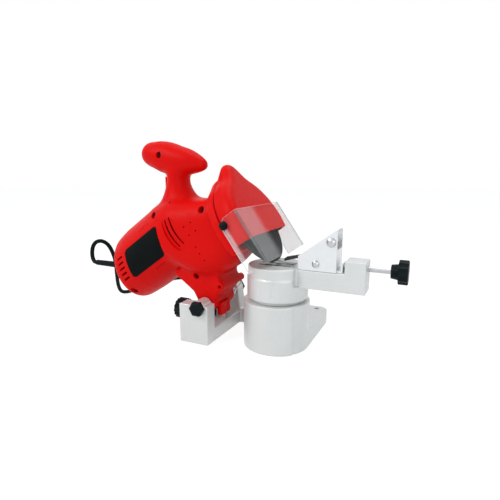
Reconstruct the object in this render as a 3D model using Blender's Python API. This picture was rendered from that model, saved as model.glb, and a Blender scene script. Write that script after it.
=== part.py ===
"""Electric chain saw sharpener: a motor head that swings on a hinge pin over a swivelling chain vise.

Metres, +Z up. The tower frame has its origin on the bench under the swivel axis, X along the vise
arm and Y away from the operator. The head is drawn in its own frame, whose origin is the hinge pin
and whose X runs along the motor shaft towards the wheel.
"""

import math

import bmesh
import bpy
from mathutils import Matrix, Vector

MM = 0.001

# Gaps between pieces
GAP = 0.3 * MM
RUN_GAP = 0.1 * MM
SPLIT_GAP = 0.15 * MM
OVERRUN = 5 * MM

# Origin of the whole part, on the flat underside of the base plate
BENCH_X = -37 * MM
BENCH_Y = 70 * MM

# Base casting
CUP_RADIUS = 39.2 * MM
CUP_TOP = 57.7 * MM
CUP_SLAB = 7.5 * MM
CUP_BORE = 33 * MM
APRON_STEP = 1.7 * MM
APRON_START = math.radians(-43)
APRON_END = math.radians(-200)
CAST_CHAMFER = 2 * MM
PLATE_HEIGHT = 20 * MM
PLATE_LEFT = -111.5 * MM
PLATE_FRONT = 42 * MM
PLATE_BACK = 98.9 * MM
PLATE_CORNER = 7 * MM
BOLT_INSET = 14.5 * MM
BOLT_DEPTH_IN = 9.6 * MM
BOLT_RADIUS = 3.5 * MM

# Hinge bracket of the base casting
HINGE_X = -84.5 * MM
HINGE_Z = 46.5 * MM
HEAD_TILT = math.radians(35)
BRACKET_RIGHT = -71.6 * MM
BRACKET_FRONT = -47 * MM
POST_FRONT_THICK = 18.5 * MM
POST_TOP = 49.5 * MM
POST_BOSS = 9.2 * MM
CHANNEL_TOP = 17.5 * MM
CHANNEL_FLOOR = 5 * MM
CHANNEL_WALL = 4.4 * MM
REAR_POST_FRONT = 41.5 * MM
REAR_POST_BACK = 58.7 * MM
REAR_BOSS = 10 * MM
LUG_BACK = -16 * MM
LUG_RIGHT = -99 * MM
LUG_TOP = 42 * MM

# Hinge pin, caps and return spring
PIN_RADIUS = 4 * MM
PIN_OVERHANG = 4 * MM
CAP_RADIUS = 9.6 * MM
CAP_THICK = 7.4 * MM
CAP_BEVEL = 2 * MM
SPRING_RADIUS = 8 * MM
SPRING_WIRE = 0.9 * MM
SPRING_TURNS = 4
SPRING_PITCH = 2.4 * MM
SPRING_START = 29 * MM
SPRING_LEG_HOLE_DEPTH = 3 * MM

# Depth stop
STOP_Y = -22 * MM
STOP_Z = 34 * MM
STOP_SCREW_RADIUS = 3 * MM
STOP_PAD_LEFT = -79.6 * MM
STOP_PAD_THICK = 3.4 * MM
STOP_PAD_RADIUS = 5.4 * MM
STOP_KNOB_RADIUS = 13.4 * MM
STOP_KNOB_THICK = 12.5 * MM
STOP_KNOB_GAP = 4.6 * MM
STOP_NUT_THICK = 3.2 * MM
STOP_NUT_RADIUS = 6 * MM

# Turntable with its arm
TABLE_RADIUS = 36.8 * MM
TABLE_UPPER_RADIUS = 35.7 * MM
TABLE_NECK_RADIUS = 34 * MM
TABLE_BOTTOM = 61 * MM
TABLE_STEP = 87 * MM
TABLE_TOP = 100.4 * MM
TABLE_CHAMFER = 0.8 * MM
GROOVE_ANGLE = math.radians(-79)
GROOVE_SIZE = 1.6 * MM
GROOVE_BOTTOM = 66 * MM
GROOVE_TOP = 84.5 * MM
ARM_HALF = 14 * MM
ARM_START = 27 * MM
ARM_END = 105 * MM
ARM_BOTTOM = 77.5 * MM
ARM_TOP = 99 * MM
RECESS_START = 21.8 * MM
BLOCK_START = 82 * MM
BLOCK_TOP = 113 * MM
STUD_RADIUS = 5 * MM
STUD_INSERT = 12 * MM
STUD_BOTTOM = 17 * MM
WASHER_RADIUS = 14 * MM
WASHER_THICK = 3 * MM
LOCK_KNOB_RADIUS = 18 * MM
LOCK_KNOB_THICK = 20 * MM

# Chain vise
JAW_HALF_LENGTH = 20 * MM
JAW_TOP = 100.9 * MM
JAW_FLOOR = 90 * MM
JAW_DEEP_FLOOR = 82 * MM
JAW_THICK = 10 * MM
SLOT_HALF = 1 * MM
JAW_OPENING = 4 * MM
CLAMP_Z = 87.5 * MM
CLAMP_RADIUS = 3 * MM
CLAMP_KNOB_RADIUS = 9 * MM
CLAMP_KNOB_THICK = 11 * MM
CLAMP_KNOB_STAND = 6 * MM

# Stop carriage
PLATE_THICK = 2 * MM
STEEL = 2 * MM
SIDE_LEFT = 29.4 * MM
SIDE_LOW_EDGE = 114.8 * MM
SIDE_APEX_X = 70.6 * MM
SIDE_APEX = 145.5 * MM
SIDE_RIGHT = 73 * MM
CARRIAGE_LEFT = 31 * MM
CARRIAGE_RIGHT = 79.5 * MM
CARRIAGE_LUG_TOP = 109 * MM
CARRIAGE_WEB_TOP = 124 * MM
SCREW_A = (66.5 * MM, 132.7 * MM)
SCREW_A_HEAD = 5.4 * MM
SCREW_B = (49.9 * MM, 107.2 * MM)
SCREW_B_HEAD = 4.3 * MM
SCREW_SHANK = 2.4 * MM
SCREW_HEAD_HEIGHT = 2.6 * MM
NUT_RADIUS = 6.2 * MM
NUT_THICK = 4 * MM
SPACER_RADIUS = 4 * MM
PAWL_HALF = 2.3 * MM
PAWL_HUB = 5 * MM
PAWL_BACK_SHARES = [(0.54, 1.0), (0.93, 0.42), (1.0, 0.02)]
PAWL_FRONT_SHARES = [(0.985, -0.36), (0.86, -0.12), (0.62, 0.32), (0.3, 0.02)]
PAWL_REACH = 41.5 * MM
PAWL_RISE = 6.6 * MM
ADJUST_Z = 104 * MM
ADJUST_RADIUS = 3 * MM
ADJUST_HUB_LEFT = 128.5 * MM
ADJUST_HUB_RADIUS = 7.5 * MM
ADJUST_HUB_LENGTH = 7.5 * MM
ADJUST_KNOB_RADIUS = 13.5 * MM
ADJUST_KNOB_LENGTH = 10 * MM

# Head housing
WALL = 3 * MM
MOTOR_Z = 99 * MM
BARREL_RADIUS = 46.3 * MM
BARREL_LENGTH = 97 * MM
BARREL_SHARES = [(1, 0), (1, 0.35), (0.986, 0.63), (0.967, 0.76), (0.948, 0.845), (0.925, 0.905),
                 (0.9, 0.945), (0.86, 0.965), (0.75, 0.985), (0.64, 1), (0.5, 1), (0.3, 1), (0, 1)]
BARREL_SLANT_SHARE = 0.3
CHAMBER_RADIUS = 42.2 * MM
CHAMBER_BACK = 18 * MM - BARREL_LENGTH
CHAMBER_STEP = CHAMBER_BACK + 11 * MM
REAR_CHAMBER_RADIUS = 30 * MM
CHAMBER_FRONT = 31 * MM
BODY_BACK = -6 * MM
BODY_LENGTH = 86 * MM
BODY_HEIGHT = 100 * MM
BODY_HALF = 46 * MM
BODY_SHARES = [(0, 0.5, 1.46, 1), (0.186, 0.31, 1.435, 1), (0.419, 0.23, 1.34, 0.98),
               (0.651, 0.205, 1.22, 0.935), (0.86, 0.235, 1.11, 0.905), (1, 0.275, 1.07, 0.875)]
FRONT_CHAMBER_BACK = 37 * MM
FRONT_CHAMBER_END = 70 * MM
NECK_X = -54.5 * MM
NECK_FOOT = 113.5 * MM
NECK_TALL = 54 * MM
NECK_HALF = 16 * MM
NECK_HALF_DEPTH = 17 * MM
NECK_SHARES = [(0, 1.81, 2.94, 1.76), (0.185, 1.5, 2.2, 1.47), (0.333, 1.25, 1.62, 1.24),
               (0.5, 1.05, 1.12, 1.09), (0.704, 0.83, 0.86, 1), (1, 1.05, 1.05, 1)]
HANDLE_LEFT = -107 * MM
HANDLE_LENGTH = 95.5 * MM
HANDLE_Z = 184.5 * MM
HANDLE_DROP = 14 * MM
HANDLE_HALF_HEIGHT = 20.5 * MM
HANDLE_HALF_DEPTH = 19 * MM
HANDLE_SHARES = [(0, 0, 0.06, 0.08), (0.012, 0, 0.3, 0.37), (0.045, 0, 0.56, 0.66),
                 (0.105, 0, 0.75, 0.84), (0.196, 0.09, 0.86, 0.95), (0.307, 0.24, 0.985, 1),
                 (0.457, 0.41, 1, 1), (0.608, 0.61, 0.907, 0.95), (0.759, 0.73, 0.75, 0.82),
                 (0.879, 0.87, 0.537, 0.61), (0.96, 0.97, 0.33, 0.38), (0.988, 1, 0.2, 0.22),
                 (1, 1, 0.07, 0.08)]
FOOT_HALF = 26.4 * MM
FOOT_SIZE = 46 * MM
FOOT_SHARES = [(-0.435, 1.2), (-0.174, 0.478), (-0.2, 0.22), (-0.1, 0), (0.3, 0), (0.6, 0.09),
               (0.68, 0.26), (0.74, 0.44), (1.0, 0.587), (1.283, 0.554), (1.283, 1.2)]
BARREL_HINGE_RADIUS = 12 * MM
LUG_BOSS = (29 * MM, 8.5 * MM)
LUG_BOSS_RADIUS = 5.2 * MM
LUG_BOSS_BORE = 2.2 * MM
LUG_BOSS_BACK = 34 * MM
NOTCH_BACK = -14.6 * MM
NOTCH_TOP = 40.6 * MM
HEEL_RIGHT = -67.5 * MM
HEEL_BOTTOM = 27.5 * MM
HEEL_FRONT = -25 * MM
HEEL_BACK = 10 * MM
RIB_SHARES = [(-0.08, 0.62), (0.08, 0.66), (0.24, 0.7)]
RIB_HALF = 1.6 * MM
RIB_OUT = 1.5 * MM
RIB_LOW_SHARE = 0.26
SCREW_PLACES_SHARES = [(1.015, 4.141), (0.111, 2.796), (1.498, 2.08), (0.189, 0.78), (-1.935, 1.461)]
SCREW_BOSS = 6 * MM
SCREW_SINK = 4.2 * MM
SCREW_DEPTH_SHARES = [0.5, 0.62, 0.62, 0.45, 0.5]
VENT_X = (13.5 * MM, 20 * MM)
VENT_HALF = 1.3 * MM
VENT_BOTTOM = 79 * MM
VENT_TALL = 36 * MM
VENT_REACH = BODY_HALF * 1.2
VENT_DEPTH = CHAMBER_RADIUS * 0.55
REAR_VENTS = 5
REAR_VENT_TOP = 110.7 * MM
REAR_VENT_PITCH = 6.8 * MM
REAR_VENT_LEFT = 17.4 * MM - BARREL_LENGTH
REAR_VENT_LENGTH = 11 * MM
REAR_VENT_HALF = 1.3 * MM
RATING_X = -31.5 * MM
RATING_LENGTH = 60 * MM
RATING_HEIGHT = 37.3 * MM
RATING_DROP = math.radians(3.8)
RATING_THICK = 0.7 * MM
RATING_RECESS = 0.5 * MM

# Motor and drive
BEARING_RADIUS = 11 * MM
BEARING_BORE = 4 * MM
BEARING_WIDTH = 7 * MM
STATOR_BACK = CHAMBER_BACK + 19 * MM
STATOR_FRONT = -14 * MM
STATOR_BORE = 24 * MM
CORE_RADIUS = 23.4 * MM
COMMUTATOR_BACK = CHAMBER_BACK + 4 * MM
COMMUTATOR_LENGTH = 12 * MM
COMMUTATOR_RADIUS = 11 * MM
SHAFT_RADIUS = 3.9 * MM
FAN_BACK = 14 * MM
FAN_WIDTH = 11 * MM
FAN_RADIUS = 38 * MM
FAN_BLADES = 7
FAN_BLADE_HALF = 0.9 * MM
BRUSH_HALF = 5 * MM
PULLEY_BACK = 42 * MM
PULLEY_WIDTH = 9 * MM
PULLEY_SMALL = 7.5 * MM
DRIVE_RATIO_SHARE = 3.2
BELT_THICK = 2 * MM
PULLEY_GROOVES = 2
GROOVE_DEPTH = 1 * MM

# Spindle, wheel and guard
SPINDLE_Z = 53.4 * MM
WHEEL_X = 101 * MM
WHEEL_RADIUS = 54 * MM
WHEEL_THICK = 3.2 * MM
WHEEL_BORE = 11.15 * MM
FLANGE_RADIUS = 15 * MM
FLANGE_THICK = 2.2 * MM
INNER_FLANGE_BACK = 93.4 * MM
NUT_FLAT_RADIUS = 7.5 * MM
ARBOR_NUT_THICK = 2.4 * MM
SPINDLE_RADIUS = 4.9 * MM
GUARD_BACK = BODY_BACK + BODY_LENGTH + GAP
GUARD_PARTING = 92 * MM
GUARD_FRONT = 116 * MM
GUARD_RADIUS = WHEEL_RADIUS + 6.5 * MM
GUARD_PEAK = 15.1 * MM
GUARD_BACK_PEAK = 7 * MM
GUARD_PEAK_SPREAD = 0.23
GUARD_WALL = 2.5 * MM
GUARD_LOWER_EDGE = 33.5 * MM
GUARD_APRON = 27.5 * MM
SHIELD_FRONT = 119 * MM
SHIELD_SHEET = 2 * MM
SHIELD_BACK = 92.8 * MM
SHIELD_HALF = GUARD_RADIUS + 2.5 * MM
SHIELD_BOTTOM = 0.6 * MM
SHIELD_TOP = 67 * MM
SHIELD_CHAMFER = 9 * MM
SHIELD_SCREW = (97 * MM, 59.5 * MM)
SHIELD_SCREW_RADIUS = 5.2 * MM
SHIELD_SCREW_HEIGHT = 3.4 * MM
SHIELD_SHANK = 2 * MM

# Trigger and cord
TRIGGER_BOTTOM = 141 * MM
TRIGGER_TALL = 15 * MM
TRIGGER_HALF = 5.5 * MM
TRIGGER_DEPTH = 9 * MM
TRIGGER_OUT = 3 * MM
SWITCH_HALF = 10.6 * MM
CORD_RADIUS = 3 * MM
GLAND_RADIUS = 4.6 * MM
GLAND_SET_IN = 5 * MM
GLAND_LENGTH = 70 * MM
GLAND_TAPER = 60 * MM
GLAND_END_SHARE = 0.86
GLAND_START = (-222 * MM, 0, 74.4 * MM)
CORD_GAP = 0.95 * MM
CORD_ROUTE = [
    Vector((-299.2, 0.4, 75.2)) * MM, Vector((-304.6, 2.4, 83)) * MM, Vector((-305.2, 4.6, 94.6)) * MM,
    Vector((-301.5, 7.6, 102.9)) * MM, Vector((-294.6, 11.6, 105.3)) * MM, Vector((-289.7, 17, 101.6)) * MM,
    Vector((-288, 23, 93.8)) * MM, Vector((-288.3, 30.4, 78.6)) * MM, Vector((-292.3, 37.4, 62.6)) * MM,
    Vector((-299, 45, 44)) * MM, Vector((-306, 54, 23.7)) * MM, Vector((-310, 64, 9.8)) * MM,
    Vector((-310.4, 78, 4.2)) * MM, Vector((-307, 100, 3.6)) * MM, Vector((-303, 130, 3.6)) * MM,
    Vector((-298, 164, 3.6)) * MM, Vector((-287, 192, 3.6)) * MM, Vector((-266, 207, 3.6)) * MM,
    Vector((-240, 210, 3.6)) * MM, Vector((-212, 204, 3.6)) * MM, Vector((-188, 190, 3.6)) * MM,
    Vector((-166, 171, 3.6)) * MM, Vector((-145, 150, 3.6)) * MM, Vector((-124, 131, 3.9)) * MM,
    Vector((-100, 123, 4.4)) * MM]
CORD_POINTS = 72
COIL_CENTRE = (-57 * MM, 165 * MM)
COIL_MIDDLE_RADIUS = 33 * MM
COIL_TURNS = 5.5
COIL_STEP = 6.7 * MM
COIL_LIFT = 1.6 * MM
COIL_LEAD = 12 * MM
COIL_TAIL = 18 * MM
TIE_THICK = 1 * MM
TIE_WIDTH = 7 * MM
PLUG_LENGTH = 37 * MM
PLUG_HALF_WIDTH = 17.5 * MM
PLUG_NOSE_HALF = 6 * MM
PLUG_PIN_RADIUS = 2.4 * MM
PLUG_PIN_LENGTH = 19 * MM
PLUG_PIN_SPACING = 9.5 * MM

OFFSETS = {}


def clear_scene():
    for old in list(bpy.data.objects):
        bpy.data.objects.remove(old, do_unlink=True)


def empty(name, parent=None, at=(0, 0, 0), starts_frame=False):
    """An empty at a place of its frame. OFFSETS keeps where it lies in that frame."""
    node = bpy.data.objects.new(name, None)
    bpy.context.scene.collection.objects.link(node)
    node.parent = parent
    base = OFFSETS[parent.name] if parent else Vector((0, 0, 0))
    node.location = Vector(at) - base
    OFFSETS[name] = Vector((0, 0, 0)) if starts_frame else Vector(at)
    return node


def new_object(name, mesh):
    node = bpy.data.objects.new(name, mesh)
    bpy.context.scene.collection.objects.link(node)
    return node


def mesh_object(name, points, faces):
    """A closed mesh with its faces turned outward."""
    mesh = bpy.data.meshes.new(name)
    shell = bmesh.new()
    corners = [shell.verts.new(point) for point in points]
    for face in faces:
        shell.faces.new([corners[index] for index in face])
    bmesh.ops.recalc_face_normals(shell, faces=shell.faces)
    shell.to_mesh(mesh)
    shell.free()
    return new_object(name, mesh)


def on_axis(axis, along, across, up):
    """A point given along an axis and in the plane across it."""
    if axis == "X":
        return (along, across, up)
    if axis == "Y":
        return (across, along, up)
    return (across, up, along)


def prism(name, outline, low, high, axis):
    count = len(outline)
    points = [on_axis(axis, low, *point) for point in outline]
    points += [on_axis(axis, high, *point) for point in outline]
    faces = [tuple(range(count)), tuple(range(2 * count - 1, count - 1, -1))]
    for index in range(count):
        following = (index + 1) % count
        faces.append((index, following, count + following, count + index))
    return mesh_object(name, points, faces)


def box(name, low, high):
    outline = [(low[0], low[1]), (high[0], low[1]), (high[0], high[1]), (low[0], high[1])]
    return prism(name, outline, low[2], high[2], "Z")


def circle(radius, steps, centre=(0, 0), start=0.0):
    return [(centre[0] + radius * math.cos(start + math.tau * step / steps),
             centre[1] + radius * math.sin(start + math.tau * step / steps)) for step in range(steps)]


def cylinder(name, axis, centre, radius, low, high, steps=24, start=0.0):
    return prism(name, circle(radius, steps, centre, start), low, high, axis)


def loft(name, rings):
    """Rings of equal counts joined in order, with both ends capped."""
    count = len(rings[0])
    points = [point for ring in rings for point in ring]
    last = len(points) - count
    faces = [tuple(range(count)), tuple(range(last + count - 1, last - 1, -1))]
    for level in range(len(rings) - 1):
        for index in range(count):
            following = (index + 1) % count
            low = level * count
            faces.append((low + index, low + following, low + count + following, low + count + index))
    return mesh_object(name, points, faces)


def lathe(name, axis, centre, profile, steps=32):
    """Turns (along, radius) points about an axis. An end with no radius closes in one point."""
    points = []
    rings = []
    for along, radius in profile:
        ring = circle(radius, steps, centre) if radius > 0 else [centre]
        rings.append(range(len(points), len(points) + len(ring)))
        points += [on_axis(axis, along, *place) for place in ring]
    faces = []
    for first, second in zip(rings, rings[1:]):
        for index in range(steps):
            following = (index + 1) % steps
            if len(first) == 1:
                faces.append((first[0], second[following], second[index]))
            elif len(second) == 1:
                faces.append((first[index], first[following], second[0]))
            else:
                faces.append((first[index], first[following], second[following], second[index]))
    if len(rings[0]) > 1:
        faces.append(tuple(rings[0]))
    if len(rings[-1]) > 1:
        faces.append(tuple(reversed(rings[-1])))
    return mesh_object(name, points, faces)


def ring(name, axis, centre, inner, outer, low, high, steps=32):
    """A plain tube or washer."""
    points = []
    for along, radius in ((low, inner), (low, outer), (high, outer), (high, inner)):
        points += [on_axis(axis, along, *place) for place in circle(radius, steps, centre)]
    faces = []
    for level in range(4):
        for index in range(steps):
            following = (index + 1) % steps
            first = level * steps
            second = (level + 1) % 4 * steps
            faces.append((first + index, first + following, second + following, second + index))
    return mesh_object(name, points, faces)


def boolean(body, tool, operation):
    """Joins or cuts the body with a tool, which is used up."""
    modifier = body.modifiers.new(operation, "BOOLEAN")
    modifier.operation = operation
    modifier.object = tool
    bpy.context.view_layer.update()
    graph = bpy.context.evaluated_depsgraph_get()
    mesh = bpy.data.meshes.new_from_object(body.evaluated_get(graph))
    body.modifiers.remove(modifier)
    body.data = mesh
    bpy.data.objects.remove(tool, do_unlink=True)
    return body


def join(body, *tools):
    for tool in tools:
        boolean(body, tool, "UNION")
    return body


def cut(body, *tools):
    for tool in tools:
        boolean(body, tool, "DIFFERENCE")
    return body


def copy_of(body, name):
    return new_object(name, body.data.copy())


def bevel_edges(body, width, chosen, segments=1):
    """Bevels the edges for which chosen(first point, second point) holds."""
    shell = bmesh.new()
    shell.from_mesh(body.data)
    edges = [edge for edge in shell.edges if chosen(edge.verts[0].co, edge.verts[1].co)]
    bmesh.ops.bevel(shell, geom=edges, offset=width, segments=segments, affect="EDGES", profile=0.5,
                    clamp_overlap=True)
    shell.to_mesh(body.data)
    shell.free()
    return body


def tidy_flats(body):
    """Joins the slivers that Boolean cuts leave on flat faces."""
    shell = bmesh.new()
    shell.from_mesh(body.data)
    bmesh.ops.dissolve_degenerate(shell, dist=GAP / 2, edges=shell.edges)
    bmesh.ops.dissolve_limit(shell, angle_limit=math.radians(0.7), verts=shell.verts, edges=shell.edges,
                             use_dissolve_boundaries=False)
    shell.to_mesh(body.data)
    shell.free()
    return body


def transformed(body, matrix):
    body.data.transform(matrix)
    return body


def material(name, colour, roughness, metallic=0.0, alpha=1.0):
    paint = bpy.data.materials.get(name)
    if paint:
        return paint
    paint = bpy.data.materials.new(name)
    paint.use_nodes = True
    surface = paint.node_tree.nodes["Principled BSDF"]
    surface.inputs["Base Color"].default_value = (*colour, 1)
    surface.inputs["Roughness"].default_value = roughness
    surface.inputs["Metallic"].default_value = metallic
    surface.inputs["Alpha"].default_value = alpha
    return paint


FINISHES = {
    "cast": ((0.72, 0.74, 0.72), 0.45, 0.2),
    "red": ((0.72, 0.02, 0.015), 0.38, 0.0),
    "black": ((0.02, 0.025, 0.025), 0.45, 0.0),
    "steel": ((0.6, 0.61, 0.62), 0.3, 1.0),
    "plate": ((0.75, 0.76, 0.77), 0.35, 0.7),
    "clear": ((0.92, 0.94, 0.94), 0.05, 0.0),
    "copper": ((0.7, 0.35, 0.2), 0.4, 1.0),
    "abrasive": ((0.2, 0.2, 0.19), 0.9, 0.0),
    "rubber": ((0.015, 0.02, 0.02), 0.7, 0.0),
    "bronze": ((0.55, 0.4, 0.15), 0.4, 1.0),
}


def finish(body, name, parent, finish_name):
    """Names the piece, gives it its own material and hangs it on its parent's place."""
    body.name = name
    body.data.name = name
    colour, roughness, metallic = FINISHES[finish_name]
    alpha = 0.35 if finish_name == "clear" else 1.0
    body.data.materials.clear()
    body.data.materials.append(material(name + "_" + finish_name, colour, roughness, metallic, alpha))
    body.parent = parent
    if body.type == "MESH":
        body.data.transform(Matrix.Translation(-OFFSETS[parent.name]))
        body.data.shade_smooth()
        body.data.set_sharp_from_angle(angle=math.radians(34))
    else:
        body.location = -OFFSETS[parent.name]
    return body


def at_rest(x, z):
    """A place of the tower frame, seen in the head's frame at rest."""
    across = x - HINGE_X
    up = z - HINGE_Z
    cos = math.cos(HEAD_TILT)
    sin = math.sin(HEAD_TILT)
    return (across * cos + up * sin, up * cos - across * sin)


def lobed(radius, lobes, depth, steps_per_lobe):
    """The outline of a knob with rounded lobes."""
    outline = []
    steps = lobes * steps_per_lobe
    for step in range(steps):
        angle = math.tau * step / steps
        reach = radius - depth * (0.5 - 0.5 * math.cos(lobes * angle))
        outline.append((reach * math.cos(angle), reach * math.sin(angle)))
    return outline


def moved(outline, centre):
    return [(point[0] + centre[0], point[1] + centre[1]) for point in outline]


# Base casting

def cup_outline():
    """The cup's plan: a circle whose front left stretch is a thicker apron."""
    outline = []
    apron = APRON_END - APRON_START
    for first, turn, radius, steps in ((APRON_START, apron, CUP_RADIUS + APRON_STEP, 28),
                                       (APRON_END, -math.tau - apron, CUP_RADIUS, 32)):
        for step in range(steps + 1):
            angle = first + turn * step / steps
            outline.append((radius * math.cos(angle), radius * math.sin(angle)))
    return outline


def rounded_plate():
    corner = PLATE_CORNER
    return [(CUP_RADIUS, 0), (CUP_RADIUS, PLATE_BACK - corner), (CUP_RADIUS - corner, PLATE_BACK),
            (PLATE_LEFT + corner, PLATE_BACK), (PLATE_LEFT, PLATE_BACK - corner),
            (PLATE_LEFT, PLATE_FRONT), (-CUP_RADIUS, PLATE_FRONT), (-CUP_RADIUS, 0)]


def front_post():
    """The front post with the bump that follows the pin."""
    outline = [(PLATE_LEFT, 0), (PLATE_LEFT, POST_TOP)]
    reach = math.acos((POST_TOP - HINGE_Z) / POST_BOSS)
    steps = 8
    for step in range(steps + 1):
        angle = math.pi / 2 + reach - 2 * reach * step / steps
        outline.append((HINGE_X + POST_BOSS * math.cos(angle), HINGE_Z + POST_BOSS * math.sin(angle)))
    outline += [(BRACKET_RIGHT, POST_TOP), (BRACKET_RIGHT, 0)]
    return prism("front_post", outline, BRACKET_FRONT, BRACKET_FRONT + POST_FRONT_THICK, "Y")


def rear_post():
    """The rear post, tapered up to a round boss."""
    outline = [(PLATE_LEFT, 0), (PLATE_LEFT, PLATE_HEIGHT)]
    steps = 12
    for step in range(steps + 1):
        angle = math.pi * (1.05 - 1.1 * step / steps)
        outline.append((HINGE_X + REAR_BOSS * math.cos(angle), HINGE_Z + REAR_BOSS * math.sin(angle)))
    outline += [(BRACKET_RIGHT, PLATE_HEIGHT), (BRACKET_RIGHT, 0)]
    return prism("rear_post", outline, REAR_POST_FRONT, REAR_POST_BACK, "Y")


def base_casting(root):
    body = prism("base_casting", cup_outline(), 0, CUP_TOP, "Z")
    join(body, prism("plate", rounded_plate(), 0, PLATE_HEIGHT, "Z"))
    floor = box("floor", (PLATE_LEFT, BRACKET_FRONT, 0), (BRACKET_RIGHT, REAR_POST_BACK, CHANNEL_TOP))
    lug = box("lug", (PLATE_LEFT, BRACKET_FRONT, 0), (LUG_RIGHT, LUG_BACK, LUG_TOP))
    join(body, floor, front_post(), rear_post(), lug)
    channel = box("channel", (PLATE_LEFT + CHANNEL_WALL, LUG_BACK, CHANNEL_FLOOR),
                  (BRACKET_RIGHT - CHANNEL_WALL, REAR_POST_FRONT, HINGE_Z))
    front_pocket = box("front_pocket", (LUG_RIGHT, BRACKET_FRONT + POST_FRONT_THICK, CHANNEL_FLOOR),
                       (BRACKET_RIGHT - CHANNEL_WALL, LUG_BACK + OVERRUN, HINGE_Z))
    cut(body, channel, front_pocket)
    cavity = cylinder("cavity", "Z", (0, 0), CUP_BORE, -OVERRUN, CUP_TOP - CUP_SLAB, 40)
    stud_hole = cylinder("stud_hole", "Z", (0, 0), STUD_RADIUS + RUN_GAP, 0, CUP_TOP + OVERRUN, 24)
    pin_hole = cylinder("pin_hole", "Y", (HINGE_X, HINGE_Z), PIN_RADIUS + RUN_GAP,
                        BRACKET_FRONT - OVERRUN, REAR_POST_BACK + OVERRUN, 24)
    stop_hole = cylinder("stop_hole", "X", (STOP_Y, STOP_Z), STOP_SCREW_RADIUS + RUN_GAP,
                         PLATE_LEFT - OVERRUN, LUG_RIGHT + OVERRUN, 20)
    cut(body, cavity, stud_hole, pin_hole, stop_hole)
    for x in (CUP_RADIUS - BOLT_INSET, PLATE_LEFT + BOLT_INSET):
        cut(body, cylinder("bolt_hole", "Z", (x, PLATE_BACK - BOLT_DEPTH_IN), BOLT_RADIUS,
                           -OVERRUN, PLATE_HEIGHT + OVERRUN, 20))
    leg_x = HINGE_X - SPRING_RADIUS
    leg_y = SPRING_START + SPRING_PITCH * SPRING_TURNS
    cut(body, cylinder("leg_hole", "Z", (leg_x, leg_y), SPRING_WIRE + GAP,
                       CHANNEL_FLOOR - SPRING_LEG_HOLE_DEPTH, CHANNEL_FLOOR + OVERRUN, 10))
    tidy_flats(body)
    bevel_edges(body, CAST_CHAMFER, is_outer_foot_edge)
    return finish(body, "base_casting", root, "cast")


def is_outer_foot_edge(first, second):
    """Edges of the bench face, but not those round its holes."""
    middle = (first + second) / 2
    if max(abs(first.z), abs(second.z)) > SPLIT_GAP or middle.xy.length < CUP_BORE + RUN_GAP:
        return False
    for x in (CUP_RADIUS - BOLT_INSET, PLATE_LEFT + BOLT_INSET):
        if (middle.xy - Vector((x, PLATE_BACK - BOLT_DEPTH_IN))).length < BOLT_RADIUS + RUN_GAP:
            return False
    return True


def hinge_pin(root):
    pin = cylinder("hinge_pin", "Y", (HINGE_X, HINGE_Z), PIN_RADIUS, BRACKET_FRONT - PIN_OVERHANG,
                   REAR_POST_BACK + PIN_OVERHANG, 24)
    return finish(pin, "hinge_pin", root, "steel")


def pin_cap(root, name, face, way):
    """A six-sided cap nut pressed over the pin's end. Its face lies on the post."""
    far = face + way * CAP_THICK
    cap = cylinder(name, "Y", (HINGE_X, HINGE_Z), CAP_RADIUS, min(face, far), max(face, far), 6)
    bevel_edges(cap, CAP_BEVEL, lambda first, second: abs(first.y - far) < RUN_GAP
                and abs(second.y - far) < RUN_GAP)
    cut(cap, cylinder("cap_bore", "Y", (HINGE_X, HINGE_Z), PIN_RADIUS + RUN_GAP,
                      min(face - way * OVERRUN, face + way * (PIN_OVERHANG + GAP)),
                      max(face - way * OVERRUN, face + way * (PIN_OVERHANG + GAP)), 24))
    return finish(cap, name, root, "black")


def tube_curve(name, route, radius, resolution=2):
    """A round tube along straight pieces between the route's points."""
    curve = bpy.data.curves.new(name, "CURVE")
    curve.dimensions = "3D"
    curve.bevel_depth = radius
    curve.bevel_resolution = resolution
    curve.use_fill_caps = True
    line = curve.splines.new("POLY")
    line.points.add(len(route) - 1)
    for point, place in zip(line.points, route):
        point.co = (*place, 1)
    return new_object(name, curve)


def least_gap(route, radius, skip):
    """The least gap between stretches of a tube that lie more than skip points apart."""
    best = math.inf
    for first in range(len(route)):
        for second in range(first + skip, len(route)):
            best = min(best, (Vector(route[first]) - Vector(route[second])).length)
    return best - 2 * radius


def return_spring(root):
    """A torsion spring on the pin. One leg lies under the head's lug, one stands in the floor."""
    lug = Vector(at_tower(LUG_BOSS[0], LUG_BOSS[1] - LUG_BOSS_RADIUS - SPRING_WIRE - GAP))
    centre = Vector((HINGE_X, HINGE_Z))
    reach = lug - centre
    swing = math.atan2(reach.y, reach.x)
    first_angle = swing - math.acos(SPRING_RADIUS / reach.length)
    last_angle = math.pi
    turn = last_angle - first_angle - math.tau * (SPRING_TURNS + 1)
    steps = 9 * (SPRING_TURNS + 1)
    route = [(lug.x, SPRING_START, lug.y)]
    for step in range(steps + 1):
        angle = first_angle + turn * step / steps
        depth = SPRING_START + SPRING_PITCH * SPRING_TURNS * step / steps
        route.append((centre.x + SPRING_RADIUS * math.cos(angle), depth,
                      centre.y + SPRING_RADIUS * math.sin(angle)))
    route.append((centre.x - SPRING_RADIUS, route[-1][1], CHANNEL_FLOOR - SPRING_LEG_HOLE_DEPTH + GAP))
    print("return_spring least gap to itself:", round(least_gap(route, SPRING_WIRE, 7) / MM, 2), "mm")
    spring = tube_curve("return_spring", route, SPRING_WIRE, 1)
    return finish(spring, "return_spring", root, "steel")


def at_tower(x, z):
    """A place of the head's frame at rest, seen in the tower frame."""
    cos = math.cos(HEAD_TILT)
    sin = math.sin(HEAD_TILT)
    return (HINGE_X + x * cos - z * sin, HINGE_Z + x * sin + z * cos)


# Depth stop

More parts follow.
